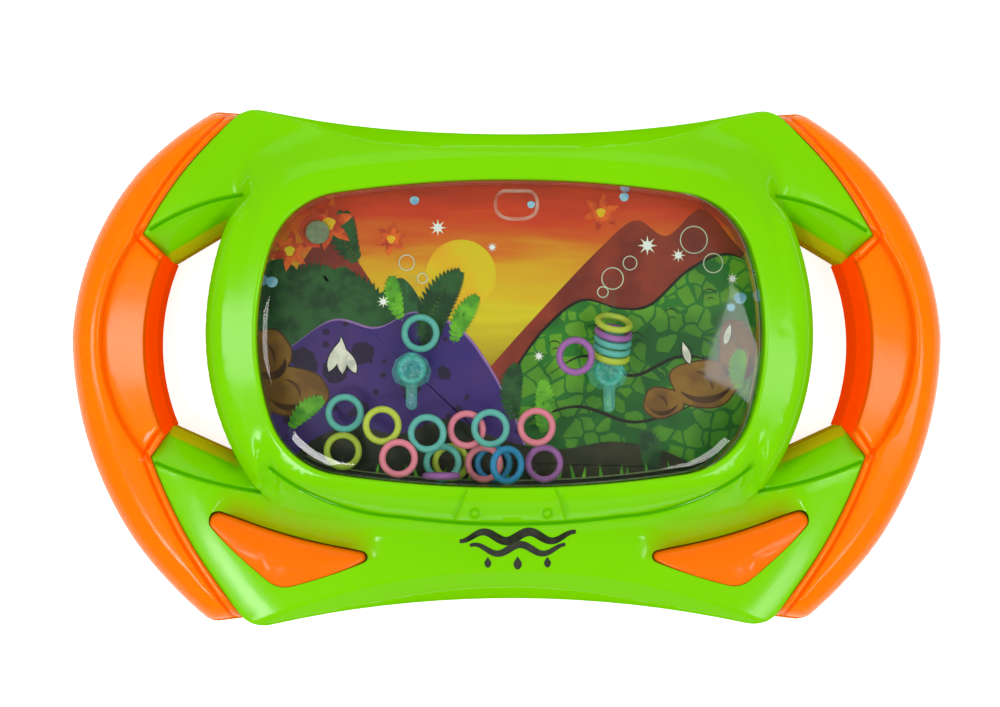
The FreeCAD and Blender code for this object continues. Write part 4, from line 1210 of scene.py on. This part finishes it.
def in_card(outline, margin=1.0):
    """An outline held inside the card's edge."""
    edge = offset(WINDOW_LOOP, margin)
    out = ~inside(outline, edge)
    if not out.any():
        return outline
    held = outline.copy()
    for index in np.where(out)[0]:
        gap = ((edge - outline[index]) ** 2).sum(axis=1)
        held[index] = edge[gap.argmin()]
    return held


def hill(points, bottom):
    crest = through(points, 1.0)
    loop = np.vstack([crest, [[crest[-1][0], bottom], [crest[0][0], bottom]]])
    return in_card(resampled(loop, 1.5))


def stroke(line, width):
    """A brush line that tapers to both ends."""
    swell = np.sin(np.linspace(0.12, math.pi - 0.12, len(line)))[:, None] * width / 2
    return in_card(np.vstack([line - normals(line) * swell, (line + normals(line) * swell)[::-1]]))


def blob(x, y, wide, tall, wobble=0.08, turn=0.0, count=36):
    angles = np.linspace(0, 2 * math.pi, count, endpoint=False)
    reach = 1 + wobble * np.sin(3 * angles + turn) + wobble * 0.6 * np.sin(5 * angles + 2 * turn)
    return in_card(np.column_stack([x + wide * reach * np.cos(angles), y + tall * reach * np.sin(angles)]))


def leaf(x, y, length, angle, width):
    along = np.linspace(0, 1, 9)
    half = width / 2 * np.sin(math.pi * along**0.8)
    upper = np.column_stack([along * length, half])
    side = np.vstack([upper, (upper * (1, -1))[::-1][1:-1]])
    c, s = math.cos(angle), math.sin(angle)
    return in_card(side @ np.array([[c, s], [-s, c]]) + (x, y))


def fern(x, y, length, angle, bend, width):
    """A fern: a bending stem with leaflets on both sides."""
    parts = []
    step = 1.1
    count = int(length / step)
    here = np.array([x, y], float)
    heading = angle
    stem = [here.copy()]
    for index in range(count):
        share = index / count
        heading += bend / count
        here = here + step * np.array([math.cos(heading), math.sin(heading)])
        stem.append(here.copy())
        reach = width * math.sin(math.pi * (0.12 + 0.85 * share)) ** 0.8
        for turn in (-1, 1):
            tilt = heading + turn * (1.15 - 0.5 * share)
            parts.append(leaf(here[0], here[1], reach, tilt, 0.9 + reach * 0.12))
    parts.append(stroke(np.array(stem), 0.6))
    return parts


def star(x, y, size, points=4, waist=0.16):
    angles = np.arange(points * 2) * math.pi / points + math.pi / 2
    reach = np.where(np.arange(points * 2) % 2 == 0, size, size * waist)
    return np.column_stack([x + reach * np.cos(angles), y + reach * np.sin(angles)])


def hoop(x, y, radius, width, first=0.0, last=2 * math.pi - 0.001):
    angles = np.linspace(first, last, 40)
    circle = np.column_stack([np.cos(angles), np.sin(angles)])
    return np.vstack([circle * radius + (x, y), (circle * (radius - width))[::-1] + (x, y)])


def print_material(name, first, second=None, scale=300.0, low=0.4, high=0.6):
    """Printed colour with a fine grain, or two colours in soft patches."""
    tree = Tree(name)
    # Painted light: both colours are made brighter by the print's light gain.
    first, second = shade(first, PRINT_LIGHT_GAIN), shade(second or shade(first, 0.86), PRINT_LIGHT_GAIN)
    tone = tree.mix(tree.between(tree.noise(scale, 3.0), low, high), first, second)
    grain = tree.between(tree.noise(4000.0, 1.0), 0.3, 0.7, 0.92, 1.06)
    shader = tree.add("BsdfPrincipled", Roughness=0.3)
    scaled = tree.add("VectorMath", n0=tone)
    scaled.operation = "SCALE"
    tree.feed(scaled, "Scale", grain)
    tree.links.new(scaled.outputs[0], shader.inputs["Base Color"])
    return tree.finish(shader)


def sky_material():
    tree = Tree("print_sky")
    streak = tree.add("Mapping", Vector=tree.place)
    streak.inputs["Scale"].default_value = (0.25, 1.6, 1.0)
    wisp = tree.noise(160.0, 4.0, streak.outputs[0])
    height = tree.math("ADD", tree.axis("Y"), tree.between(wisp, 0.3, 0.7, -0.0035, 0.0035))
    share = tree.between(height, -0.004, 0.048)
    tone = tree.ramp(
        share,
        [
            (0.0, linear(170, 130, 10)),
            (0.36, linear(236, 212, 12)),
            (0.54, linear(240, 176, 8)),
            (0.70, linear(236, 116, 14)),
            (0.84, linear(234, 66, 18)),
            (1.0, linear(196, 56, 24)),
        ],
    )
    shader = tree.add("BsdfPrincipled", Base_Color=tone, Roughness=0.3)
    return tree.finish(shader)


def mottled_material():
    """Two greens in a crazed pattern of rounded patches."""
    tree = Tree("print_mottled")
    warp = tree.noise(120.0, 2.0)
    bent = tree.add("VectorMath", n0=tree.place, n1=(0.0, 0.0, 0.0))
    bent.operation = "ADD"
    shift = tree.add("VectorMath", n0=warp, n1=(0.006, 0.004, 0.0))
    shift.operation = "MULTIPLY"
    tree.links.new(shift.outputs[0], bent.inputs[1])
    edges = tree.cells(230.0, "DISTANCE_TO_EDGE", bent.outputs[0], 0.9)
    patch = tree.cells(230.0, "F1", bent.outputs[0], 0.9)
    chosen = tree.math("GREATER_THAN", tree.add("SeparateColor", n0=patch.outputs["Color"]).outputs[0], 0.28)
    inside_patch = tree.math("MULTIPLY", tree.between(edges.outputs["Distance"], 0.055, 0.085), chosen)
    dark = tree.between(tree.noise(45.0, 2.0), 0.42, 0.62)
    base = tree.mix(dark, linear(48, 140, 42), linear(28, 98, 32))
    pale = tree.mix(dark, linear(112, 176, 34), linear(72, 138, 26))
    shader = tree.add("BsdfPrincipled", Base_Color=tree.mix(inside_patch, base, pale), Roughness=0.3)
    return tree.finish(shader)


def spotted_material():
    """Violet with dark round blotches of several sizes."""
    tree = Tree("print_spotted")
    large = tree.cells(95.0, "F1").outputs["Distance"]
    small = tree.cells(230.0, "F1").outputs["Distance"]
    wobble = tree.between(tree.noise(500.0, 2.0), 0.3, 0.7, -0.04, 0.04)
    spot = tree.math("LESS_THAN", tree.math("ADD", large, wobble), 0.30)
    dot = tree.math("LESS_THAN", tree.math("ADD", small, wobble), 0.20)
    marks = tree.math("MAXIMUM", spot, dot)
    glow = tree.between(tree.noise(60.0, 3.0), 0.35, 0.7)
    base = tree.mix(glow, linear(62, 38, 128), linear(84, 50, 122))
    shader = tree.add("BsdfPrincipled", Base_Color=tree.mix(marks, base, linear(48, 30, 66)), Roughness=0.3)
    return tree.finish(shader)


def picture_card():
    edge = offset(WINDOW_LOOP, 2.0)
    vertices, faces = slab_mesh([edge], CARD_LOW, CARD_TOP)
    white = print_material("card_white", (0.7, 0.7, 0.66))
    card = new_object("card_board", vertices, faces, "casing", [white])
    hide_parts("picture_card")
    dark_line = print_material("print_line", linear(30, 28, 18))
    deep_red = print_material("print_deep_red", linear(112, 36, 24), linear(140, 48, 26), 90.0)
    brown = print_material("print_brown", linear(134, 92, 26), linear(108, 68, 20), 120.0)
    brown_dark = print_material("print_brown_dark", linear(80, 46, 14), linear(62, 32, 12), 150.0)
    forest = print_material("print_forest", linear(42, 86, 40), linear(26, 60, 30), 200.0)
    fresh = print_material("print_fresh", linear(100, 170, 30), linear(64, 132, 26), 220.0)
    undergrowth = print_material("print_undergrowth", linear(54, 48, 28), linear(30, 36, 20), 120.0)
    rust = print_material("print_rust", linear(216, 90, 18), linear(170, 46, 14), 260.0)
    amber = print_material("print_amber", linear(224, 156, 6), linear(206, 178, 6), 60.0)
    pale = print_material("print_pale", linear(206, 200, 186), linear(176, 172, 160), 300.0)
    lilac = print_material("print_lilac", linear(140, 100, 160))

    printed("print_sky", [offset(WINDOW_LOOP, 1.8)], 1, sky_material())
    printed("print_sun", [blob(-12.0, 24.0, 9.0, 9.0, 0.0)], 2, amber)
    ridge = hill([(-10, -6), (6, 12), (24, 31), (33, 38), (41, 34), (50, 41), (58, 33), (66, 24)], -5)
    far = hill([(-66, 12), (-58, 19), (-50, 31), (-44, 33), (-37, 25), (-27, 8)], -5)
    printed("print_far_hills", [ridge, far], 3, deep_red)
    wood = hill([(-66, 24), (-58, 28), (-50, 22), (-42, 26), (-34, 19), (-27, 23), (-20, 12), (-14, -8)], -32)
    printed("print_wood", [wood], 4, forest)

    crest = [(-8, -18), (0, -4), (9, 9), (19, 17), (29, 15), (37, 16), (47, 25), (57, 29), (68, 24)]
    crest_line = [(x - 0.4, y + 0.6) for x, y in crest]
    printed("print_hill_line", [hill(crest_line, -33)], 5, dark_line)
    printed("print_green_hill", [hill(crest, -33)], 6, mottled_material())
    tufts = []
    places = ((12, 6), (22, 10), (33, 8), (42, 14), (52, 19), (58, 10), (46, 4), (24, -2))
    for index, (x, y) in enumerate(places):
        tufts.append(stroke(arc((x - 1.6, y), (x, y + 0.9 + 0.1 * index), (x + 1.8, y - 0.4), 0.3), 0.34))
        tufts.append(stroke(arc((x - 0.6, y - 1.5), (x + 0.5, y - 0.9), (x + 1.6, y - 1.6), 0.3), 0.3))
    paths = (
        [(10, -2), (20, 3), (32, -2), (45, 3), (60, 0)],
        [(4, -14), (18, -10), (33, -14), (50, -9)],
    )
    printed("print_hill_marks", tufts + [stroke(through(path, 0.6), 0.9) for path in paths], 7, dark_line)

    violet = [(-68, -4), (-56, 5), (-45, 12), (-34, 10), (-24, 14), (-13, 10), (-5, 0), (2, -14), (8, -33)]
    violet_line = [(x + 0.4, y + 0.5) for x, y in violet]
    printed("print_violet_line", [hill(violet_line, -33)], 7, lilac)
    printed("print_violet_hill", [hill(violet, -33)], 8, spotted_material())

    rocks_line, rocks, rock_shade = [], [], []
    for x, y, wide, tall, turn in (
        (51.0, -4.0, 9.0, 6.0, 0.3),
        (59.0, 4.0, 4.5, 8.5, 1.2),
        (-55.0, -6.0, 8.5, 6.0, 2.0),
        (-61.0, 3.0, 5.0, 7.0, 0.8),
        (40.0, -9.0, 5.0, 3.8, 1.7),
    ):
        rocks_line.append(blob(x, y, wide + 0.4, tall + 0.4, 0.06, turn))
        rocks.append(blob(x, y, wide, tall, 0.06, turn))
        under = ((-0.7, -0.35), (0.0, -0.72), (0.75, -0.1))
        crack = ((-0.3, 0.5), (0.1, 0.2), (0.2, -0.3))
        for shares, width in ((under, tall * 0.3), (crack, 0.7)):
            line = arc(*((x + wide * right, y + tall * up) for right, up in shares), 0.5)
            rock_shade.append(stroke(line, width))
    printed("print_rock_line", rocks_line, 8, brown_dark)
    printed("print_rocks", rocks, 9, brown)
    printed("print_rock_shade", rock_shade, 10, brown_dark)

    low = [(-62, -33), (-52, -20), (-40, -15), (-28, -17), (-15, -13)]
    low += [(-3, -18), (12, -21), (28, -19), (44, -23), (56, -33)]
    printed("print_undergrowth", [hill(low, -34)], 9, undergrowth)

    ferns = ((-20, 4, 22, 1.7, -0.9, 6.0), (-31, 12, 20, 2.1, 0.9, 5.5), (-61, 14, 19, 1.0, -0.8, 6.0))
    ferns += ((-38, 27, 14, 2.4, -0.9, 5.0), (2, -14, 15, 1.9, -0.6, 4.0), (36, -28, 12, 1.2, 0.7, 4.0))
    printed("print_dark_ferns", [part for place in ferns for part in fern(*place)], 11, forest)
    ferns = ((-14, 6, 14, 1.4, -0.5, 3.6), (-27, 12, 12, 2.1, -0.5, 3.2), (8, -16, 13, 1.2, 0.5, 3.4))
    ferns += ((-56, -16, 11, 1.1, -0.6, 3.4), (60, -6, 10, 1.9, -0.6, 3.2))
    printed("print_bright_ferns", [part for place in ferns for part in fern(*place)], 12, fresh)
    blades = []
    for index in range(26):
        x = -46 + index * 3.9 + 1.3 * math.sin(index * 2.1)
        reach = 4.5 + 2.2 * math.sin(index * 1.7) ** 2
        blades.append(leaf(x, -30.5, reach, 1.57 + 0.4 * math.sin(index * 3.3), 0.9))
    printed("print_blades", blades, 12, fresh)

    # Painted shadow and highlight along the window's foot: a dark band where the tank wall shades the card,
    # and a pale highlight line just inside it.
    for name, inner, outer, material in (
        ("painted_foot_shadow", -0.6, 1.4, print_material("painted_foot_shadow_ink", linear(24, 30, 16))),
        ("painted_foot_highlight", -0.98, -0.62, print_material("painted_foot_highlight_ink", linear(116, 124, 84))),
    ):
        edges = [offset(WINDOW_LOOP, amount) for amount in (inner, outer)]
        first, second = [edge[WINDOW_LOOP[:, 1] < -23.0] for edge in edges]
        printed(name, [np.vstack([first, second[::-1]])], 16, material)

    flowers = ((-46.0, 37.0, 7.0), (-56.0, 30.0, 5.4), (24.0, 40.0, 5.0), (-30.0, 33.0, 4.4))
    turns = [index * math.pi / 3 + 0.35 for index in range(6)]
    petals = [leaf(x, y, size, turn, size * 0.42) for x, y, size in flowers for turn in turns]
    printed("print_petals", petals, 13, rust)
    hearts = [blob(x, y, size * 0.23, size * 0.23, 0.1) for x, y, size in flowers]
    printed("print_flower_hearts", hearts, 14, amber)
    places = ((-46.0, -1.0, 8.5, 1.2, 2.6), (-42.5, -1.6, 9.5, 1.6, 2.8), (-39.0, -1.4, 7.0, 2.0, 2.3))
    places += ((56.0, 6.0, 5.5, 1.3, 1.8), (47.0, 1.0, 6.0, 1.9, 1.9))
    shards = [resampled(leaf(*place), 1.0) for place in places]
    printed("print_crystal_line", [offset(shard, 0.3) for shard in shards], 13, dark_line)
    printed("print_crystals", shards, 14, pale)

    glints = ((36, 31.5, 2.6), (44, 29, 1.9), (58, 23, 1.6), (-18, 36, 2.3))
    glints += ((-4, 31, 1.4), (-32, 17, 1.7), (8, 3, 1.5))
    glow = print_material("print_glow", linear(225, 220, 200))
    printed("print_glints", [star(x, y, size, 8, 0.34) for x, y, size in glints], 13, glow)
    hearts = [blob(x, y, size * 0.45, size * 0.45, 0.0, count=16) for x, y, size in glints]
    printed("print_glint_hearts", hearts, 14, print_material("print_white", linear(245, 243, 236)))
    rings = ((48, 33, 3.6), (53, 27, 2.6), (27, 23, 2.9), (31.5, 27, 1.9))
    rings += ((24.5, 19.5, 1.5), (-26, 27, 2.1), (-22, 23, 1.4))
    bubbles = [hoop(x, y, radius, 0.26) for x, y, radius in rings]
    printed("print_bubbles", bubbles, 15, print_material("print_bubble", linear(190, 196, 170)))
    spots = ((60.0, 18.0, 1.6), (57.6, 15.6, 1.1), (-24, 43, 1.2))
    spots += ((6, 42, 1.0), (-60.5, 22.0, 1.5), (30, 44, 1.2))
    drops = [blob(x, y, radius, radius * 0.92, 0.03, count=20) for x, y, radius in spots]
    blue = print_material("print_blue", linear(104, 156, 190), linear(140, 186, 208), 400.0)
    printed("print_drops", drops, 15, blue)


# Water, bubble and filler neck


def lens_row(loop, inset, drop=0.0):
    """A row of points on the dome, a little lower towards its edge and rounded over there."""
    dome = np.sqrt(LENS_RADIUS**2 - loop[:, 0] ** 2 - (loop[:, 1] - WINDOW_RISE) ** 2) - LENS_RADIUS
    left = fade(-loop[:, 0], *LEFT_START) * (1 - fade(np.abs(loop[:, 1] - WINDOW_RISE), *LEFT_HALF))
    reach = LENS_BEND + (LEFT_BEND - LENS_BEND) * left
    bend = LENS_BEND_RATE * (LENS_BEND / reach * np.maximum(reach - inset, 0.0)) ** 2
    rolled = min(max(LENS_ROUND + LENS_GAP - inset, 0.0), LENS_ROUND)
    rounding = LENS_ROUND - math.sqrt(LENS_ROUND**2 - rolled**2)
    return np.column_stack([loop, LENS_TOP + dome - bend - rounding - drop])


def level_row(grown, height):
    loop = offset(WINDOW_LOOP, grown)
    return np.column_stack([loop, np.full(len(loop), height)])


def tank_lens():
    """The tank's clear front: a shallow dome that bends down near its edge, side walls and a flange."""
    insets = (0.3, 0.42, 0.6, 0.85, 1.15, 1.5, 2.0, 2.6, 3.3, 4.1, 5.0, 6.0, 8.0)
    shares = (0.85, 0.65, 0.45, 0.25, 0.08)
    inner = offset(WINDOW_LOOP, -insets[-1])
    centre = np.array([0.0, WINDOW_RISE])
    middle = [(inner - centre) * share + centre for share in shares[::-1]]
    top = [lens_row(loop, LENS_BEND) for loop in middle]
    top += [lens_row(offset(WINDOW_LOOP, -inset), inset) for inset in insets[::-1]]
    below = [lens_row(offset(WINDOW_LOOP, -inset), inset, LENS_WALL) for inset in insets if inset > LENS_WALL]
    below += [lens_row(loop, LENS_BEND, LENS_WALL) for loop in middle[::-1]]
    sides = [
        level_row(-LENS_GAP, LENS_SHOULDER),
        level_row(LENS_SIDE, LENS_SHOULDER),
        level_row(LENS_SIDE, FLANGE_TOP),
        level_row(LENS_FLANGE, FLANGE_TOP),
        level_row(LENS_FLANGE, FLANGE_BOTTOM),
        level_row(LENS_SIDE - LENS_WALL, FLANGE_BOTTOM),
        level_row(LENS_SIDE - LENS_WALL, LENS_SHOULDER - LENS_WALL),
        level_row(-LENS_GAP - LENS_WALL, LENS_SHOULDER - LENS_WALL),
    ]
    rows = top + sides + below
    count = len(WINDOW_LOOP)
    faces = [tuple(range(count))]
    for row in range(len(rows) - 1):
        for i in range(count):
            j = (i + 1) % count
            near, far = row * count, (row + 1) * count
            faces.append((near + i, far + i, far + j, near + j))
    faces.append(tuple(reversed(range((len(rows) - 1) * count, len(rows) * count))))
    lens = [clear("lens_clear", ior=1.4)]
    item = new_object("tank_lens", np.vstack(rows) * MM, faces, "casing", lens, 40.0)
    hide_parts("tank_front")


def air_bubble():
    """The flat bubble under the top of the window: a rim round a thin film, whose pale milky share, larger at
    a glancing view, is a painted reflection.
    """
    count, sides = 72, 10
    vertices, faces = [], []
    for index in range(count):
        angle = 2 * math.pi * index / count
        c, s = math.cos(angle), math.sin(angle)
        reach = (abs(c) ** BUBBLE_SQUARENESS + abs(s) ** BUBBLE_SQUARENESS) ** (-1 / BUBBLE_SQUARENESS)
        centre = np.array(BUBBLE_PLACE) + np.array(BUBBLE_HALF) * reach * (c, s)
        centre[1] = min(centre[1], BUBBLE_CEILING)
        outward = np.array([c, s])
        for side in range(sides):
            turn = 2 * math.pi * side / sides
            point = centre + outward * BUBBLE_RIM[0] * math.cos(turn)
            height = BUBBLE_HEIGHT + BUBBLE_RIM[1] * math.sin(turn)
            vertices.append((point[0] * MM, point[1] * MM, height * MM))
    for index in range(count):
        for side in range(sides):
            a, b = index * sides + side, index * sides + (side + 1) % sides
            c, d = ((index + 1) % count) * sides + (side + 1) % sides, ((index + 1) % count) * sides + side
            faces.append((a, d, c, b))
    tree = Tree("bubble_rim")
    # Painted reflection: the rim's pale milky share grows towards a glancing view.
    edge = tree.add("LayerWeight", Blend=0.5).outputs["Facing"]
    body = tree.add("BsdfPrincipled", Base_Color=(0.9, 0.95, 0.85, 1.0), Roughness=0.05)
    passing = tree.add("BsdfTransparent", Color=(0.95, 1.0, 0.95, 1.0))
    amount = tree.between(tree.noise(220.0, 2.0), 0.35, 0.75, 0.03, 0.55)
    share = tree.math("MULTIPLY", amount, tree.between(edge, 0.1, 0.9, 0.35, 1.0))
    material = tree.finish(tree.add("MixShader", n0=share, n1=passing.outputs[0], n2=body.outputs[0]))
    return new_object("air_bubble", vertices, faces, "casing", [material], 80.0)


def filler_ring():
    """The red rim that shows round the filler neck."""
    low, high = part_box("filler_plug")
    x, y = (low.x + high.x) / 2 / MM, (low.y + high.y) / 2 / MM
    outline = hoop(x - 0.5, y + 0.35, 4.2, 1.05, 1.0, 5.0)
    vertices, faces = slab_mesh([outline], 12.02, 12.1)
    red = print_material("neck_red", linear(205, 50, 24), linear(180, 60, 30))
    return new_object("filler_rim", vertices, faces, "casing", [red])


def panel_print():
    """Plain waves over drops, printed where the casing carries a mark."""
    shapes = []
    for row, (reach, width) in enumerate(((14.6, 2.3), (12.0, 1.9))):
        xs = np.linspace(-reach, reach, 70)
        ys = WAVE_HEIGHT - WAVE_STEP * row + 1.2 * np.sin(0.55 * xs + 1.2 * row)
        line = np.column_stack([xs + PRINT_MIDDLE, ys])
        swell = 0.3 + 0.7 * np.sin(np.linspace(0.2, math.pi - 0.2, len(line)))
        side = -normals(line) * swell[:, None] * width / 2
        for a, n, b, m in zip(line, side, line[1:], side[1:]):
            shapes.append(np.array([a + n, a - n, b - m, b + m]))
    angles = np.linspace(0, 2 * math.pi, 30, endpoint=False)
    pinch = 1 - 0.75 * np.clip(np.sin(angles), 0, 1)
    drop = np.column_stack([0.62 * np.cos(angles) * pinch, np.sin(angles)])
    drops = ((-7.5, -49.2, 1.4), (0.0, -49.4, 1.7), (7.5, -49.2, 1.4))
    shapes += [drop * size + (x + PRINT_MIDDLE, y) for x, y, size in drops]
    vertices, faces = slab_mesh(shapes, 0.0, 1.0)
    flat = np.array(vertices)[:, :2] / MM
    lift = np.where(np.array(vertices)[:, 2] > 0.5 * MM, PRINT_LIFT, -PRINT_LIFT)
    vertices = np.column_stack([drawn_in(flat), shell_height(flat) + lift]) * MM
    ink = print_material("panel_ink", linear(34, 40, 20), linear(24, 28, 14), 500.0)
    return new_object("panel_print", vertices, faces, "casing", [ink])


# Studio


# Each softbox: its angle from straight above and its bearing in degrees, its distance and size in metres,
# and how bright its face is, where 1 is a white wall in the ambient light
LAMPS = {
    "left_strip": dict(tilt=26, bearing=178, away=1.1, size=(0.36, 0.13), bright=11.0),
    "right_strip": dict(tilt=25.5, bearing=-4.5, away=1.1, size=(0.46, 0.113), bright=8.0, roll=-12),
    "top_box": dict(tilt=58, bearing=90, away=1.2, size=(0.5, 1.4), bright=0.9),
    "front_box": dict(tilt=72, bearing=270, away=1.2, size=(0.45, 1.4), bright=0.45),
    "low_left_box": dict(tilt=19.5, bearing=225, away=1.1, size=(0.11, 0.2), bright=22.0),
    "low_right_box": dict(tilt=24, bearing=319, away=1.1, size=(0.11, 0.22), bright=12.0),
}
AMBIENT = 0.65

# Camera: its place and what it looks at in metres, and its lens in millimetres
CAMERA_PLACE = (-0.026, 0.0, 0.700)
CAMERA_TARGET = (-0.00215, 0.00365, 0.016)
SENSOR = 36.0
FOCAL_LENGTH = 96.36

# The floor lies just under the toy's back, so that the two don't share a plane. It is a pale grey that
# looks white where it is seen directly
FLOOR = -0.0003
FLOOR_HALF = 3.0
FLOOR_GREY = 0.84
FLOOR_GLOW = 0.78

# Clear surfaces that one line of sight may cross
CLEAR_LAYERS = 24

# What glossy surfaces mirror beside the lamps: a dim sky, brighter near the floor and dimmest from SKY_TOP up
SKY_HIGH = 0.05
SKY_LOW = 0.30
SKY_TOP = 0.8


def softbox(name, tilt, bearing, away, size, bright, roll=0.0):
    """A rectangular lamp that faces the toy; its first side points away from the toy's axis."""
    tilt, bearing = math.radians(tilt), math.radians(bearing)
    outward = Vector((math.cos(bearing), math.sin(bearing), 0.0))
    place = (outward * math.sin(tilt) + Vector((0.0, 0.0, math.cos(tilt)))) * away
    back = place.normalized()
    along = (outward - back * outward.dot(back)).normalized()
    data = bpy.data.lights.new(name, "AREA")
    data.shape = "RECTANGLE"
    data.size, data.size_y = size
    data.energy = bright * math.pi * size[0] * size[1]
    light = bpy.data.objects.new(name, data)
    bpy.context.scene.collection.objects.link(light)
    turn = Matrix((along, back.cross(along), back)).transposed().to_4x4()
    light.matrix_world = Matrix.Translation(place) @ turn @ Matrix.Rotation(math.radians(roll), 4, "Z")
    return light


def facing(place, target):
    """A place to stand and look at a target, with the toy's top upwards."""
    back = (place - target).normalized()
    right = Vector((0.0, 1.0, 0.0)).cross(back).normalized()
    up = back.cross(right)
    turn = Matrix((right, up, back)).transposed().to_4x4()
    return Matrix.Translation(place) @ turn


def studio():
    scene = bpy.context.scene
    scene.view_settings.view_transform = "Standard"
    scene.cycles.transparent_max_bounces = CLEAR_LAYERS
    data = bpy.data.cameras.new("camera")
    data.sensor_width = SENSOR
    data.lens = FOCAL_LENGTH
    data.clip_start = 0.01
    camera = bpy.data.objects.new("camera", data)
    scene.collection.objects.link(camera)
    camera.matrix_world = facing(Vector(CAMERA_PLACE), Vector(CAMERA_TARGET))
    scene.camera = camera

    world = bpy.data.worlds.new("studio")
    scene.world = world
    world.use_nodes = True
    nodes, links = world.node_tree.nodes, world.node_tree.links
    background = nodes["Background"]
    background.inputs["Color"].default_value = (1.0, 1.0, 1.0, 1.0)
    path = nodes.new("ShaderNodeLightPath")
    direction = nodes.new("ShaderNodeSeparateXYZ")
    links.new(nodes.new("ShaderNodeTexCoord").outputs["Generated"], direction.inputs[0])
    sky = nodes.new("ShaderNodeMapRange")
    for end, value in (("From Min", 0.0), ("From Max", SKY_TOP), ("To Min", SKY_LOW), ("To Max", SKY_HIGH)):
        sky.inputs[end].default_value = value
    links.new(direction.outputs["Z"], sky.inputs["Value"])
    glossy = nodes.new("ShaderNodeMix")
    glossy.inputs["A"].default_value = AMBIENT
    links.new(path.outputs["Is Glossy Ray"], glossy.inputs["Factor"])
    links.new(sky.outputs["Result"], glossy.inputs["B"])
    level = nodes.new("ShaderNodeMix")
    level.inputs["B"].default_value = 1.0
    links.new(either(nodes, links, path, "Is Camera Ray", "Is Transmission Ray"), level.inputs["Factor"])
    links.new(glossy.outputs["Result"], level.inputs["A"])
    links.new(level.outputs["Result"], background.inputs["Strength"])
    for name, lamp in LAMPS.items():
        softbox(name, **lamp)

    mesh = bpy.data.meshes.new("floor")
    corners = [(x * FLOOR_HALF, y * FLOOR_HALF, FLOOR) for x, y in ((-1, -1), (1, -1), (1, 1), (-1, 1))]
    mesh.from_pydata(corners, [], [(0, 1, 2, 3)])
    floor = bpy.data.objects.new("floor", mesh)
    scene.collection.objects.link(floor)
    tree = Tree("floor_white")
    path = tree.nodes.new("ShaderNodeLightPath")
    seen = either(tree.nodes, tree.links, path, "Is Camera Ray", "Is Glossy Ray", "Is Transmission Ray")
    matt = tree.add("BsdfDiffuse", Color=(FLOOR_GREY, FLOOR_GREY, FLOOR_GREY, 1.0))
    glow = tree.add("Emission", Strength=FLOOR_GLOW)
    extra = tree.add("MixShader", n0=seen)
    black = tree.add("Emission", Strength=0.0)
    tree.links.new(black.outputs[0], extra.inputs[1])
    tree.links.new(glow.outputs[0], extra.inputs[2])
    both = tree.add("AddShader", n0=matt.outputs[0], n1=extra.outputs[0])
    mesh.materials.append(tree.finish(both))


def either(nodes, links, path, first, *others):
    """One for rays of any of these kinds."""
    found = path.outputs[first]
    for kind in others:
        larger = nodes.new("ShaderNodeMath")
        larger.operation = "MAXIMUM"
        links.new(found, larger.inputs[0])
        links.new(path.outputs[kind], larger.inputs[1])
        found = larger.outputs[0]
    return found


studio()
paint_nodes()
front_shell()
for side in ("left", "right"):
    handle_front(side)
    button(side)
picture_card()
tank_lens()
air_bubble()
filler_ring()
panel_print()
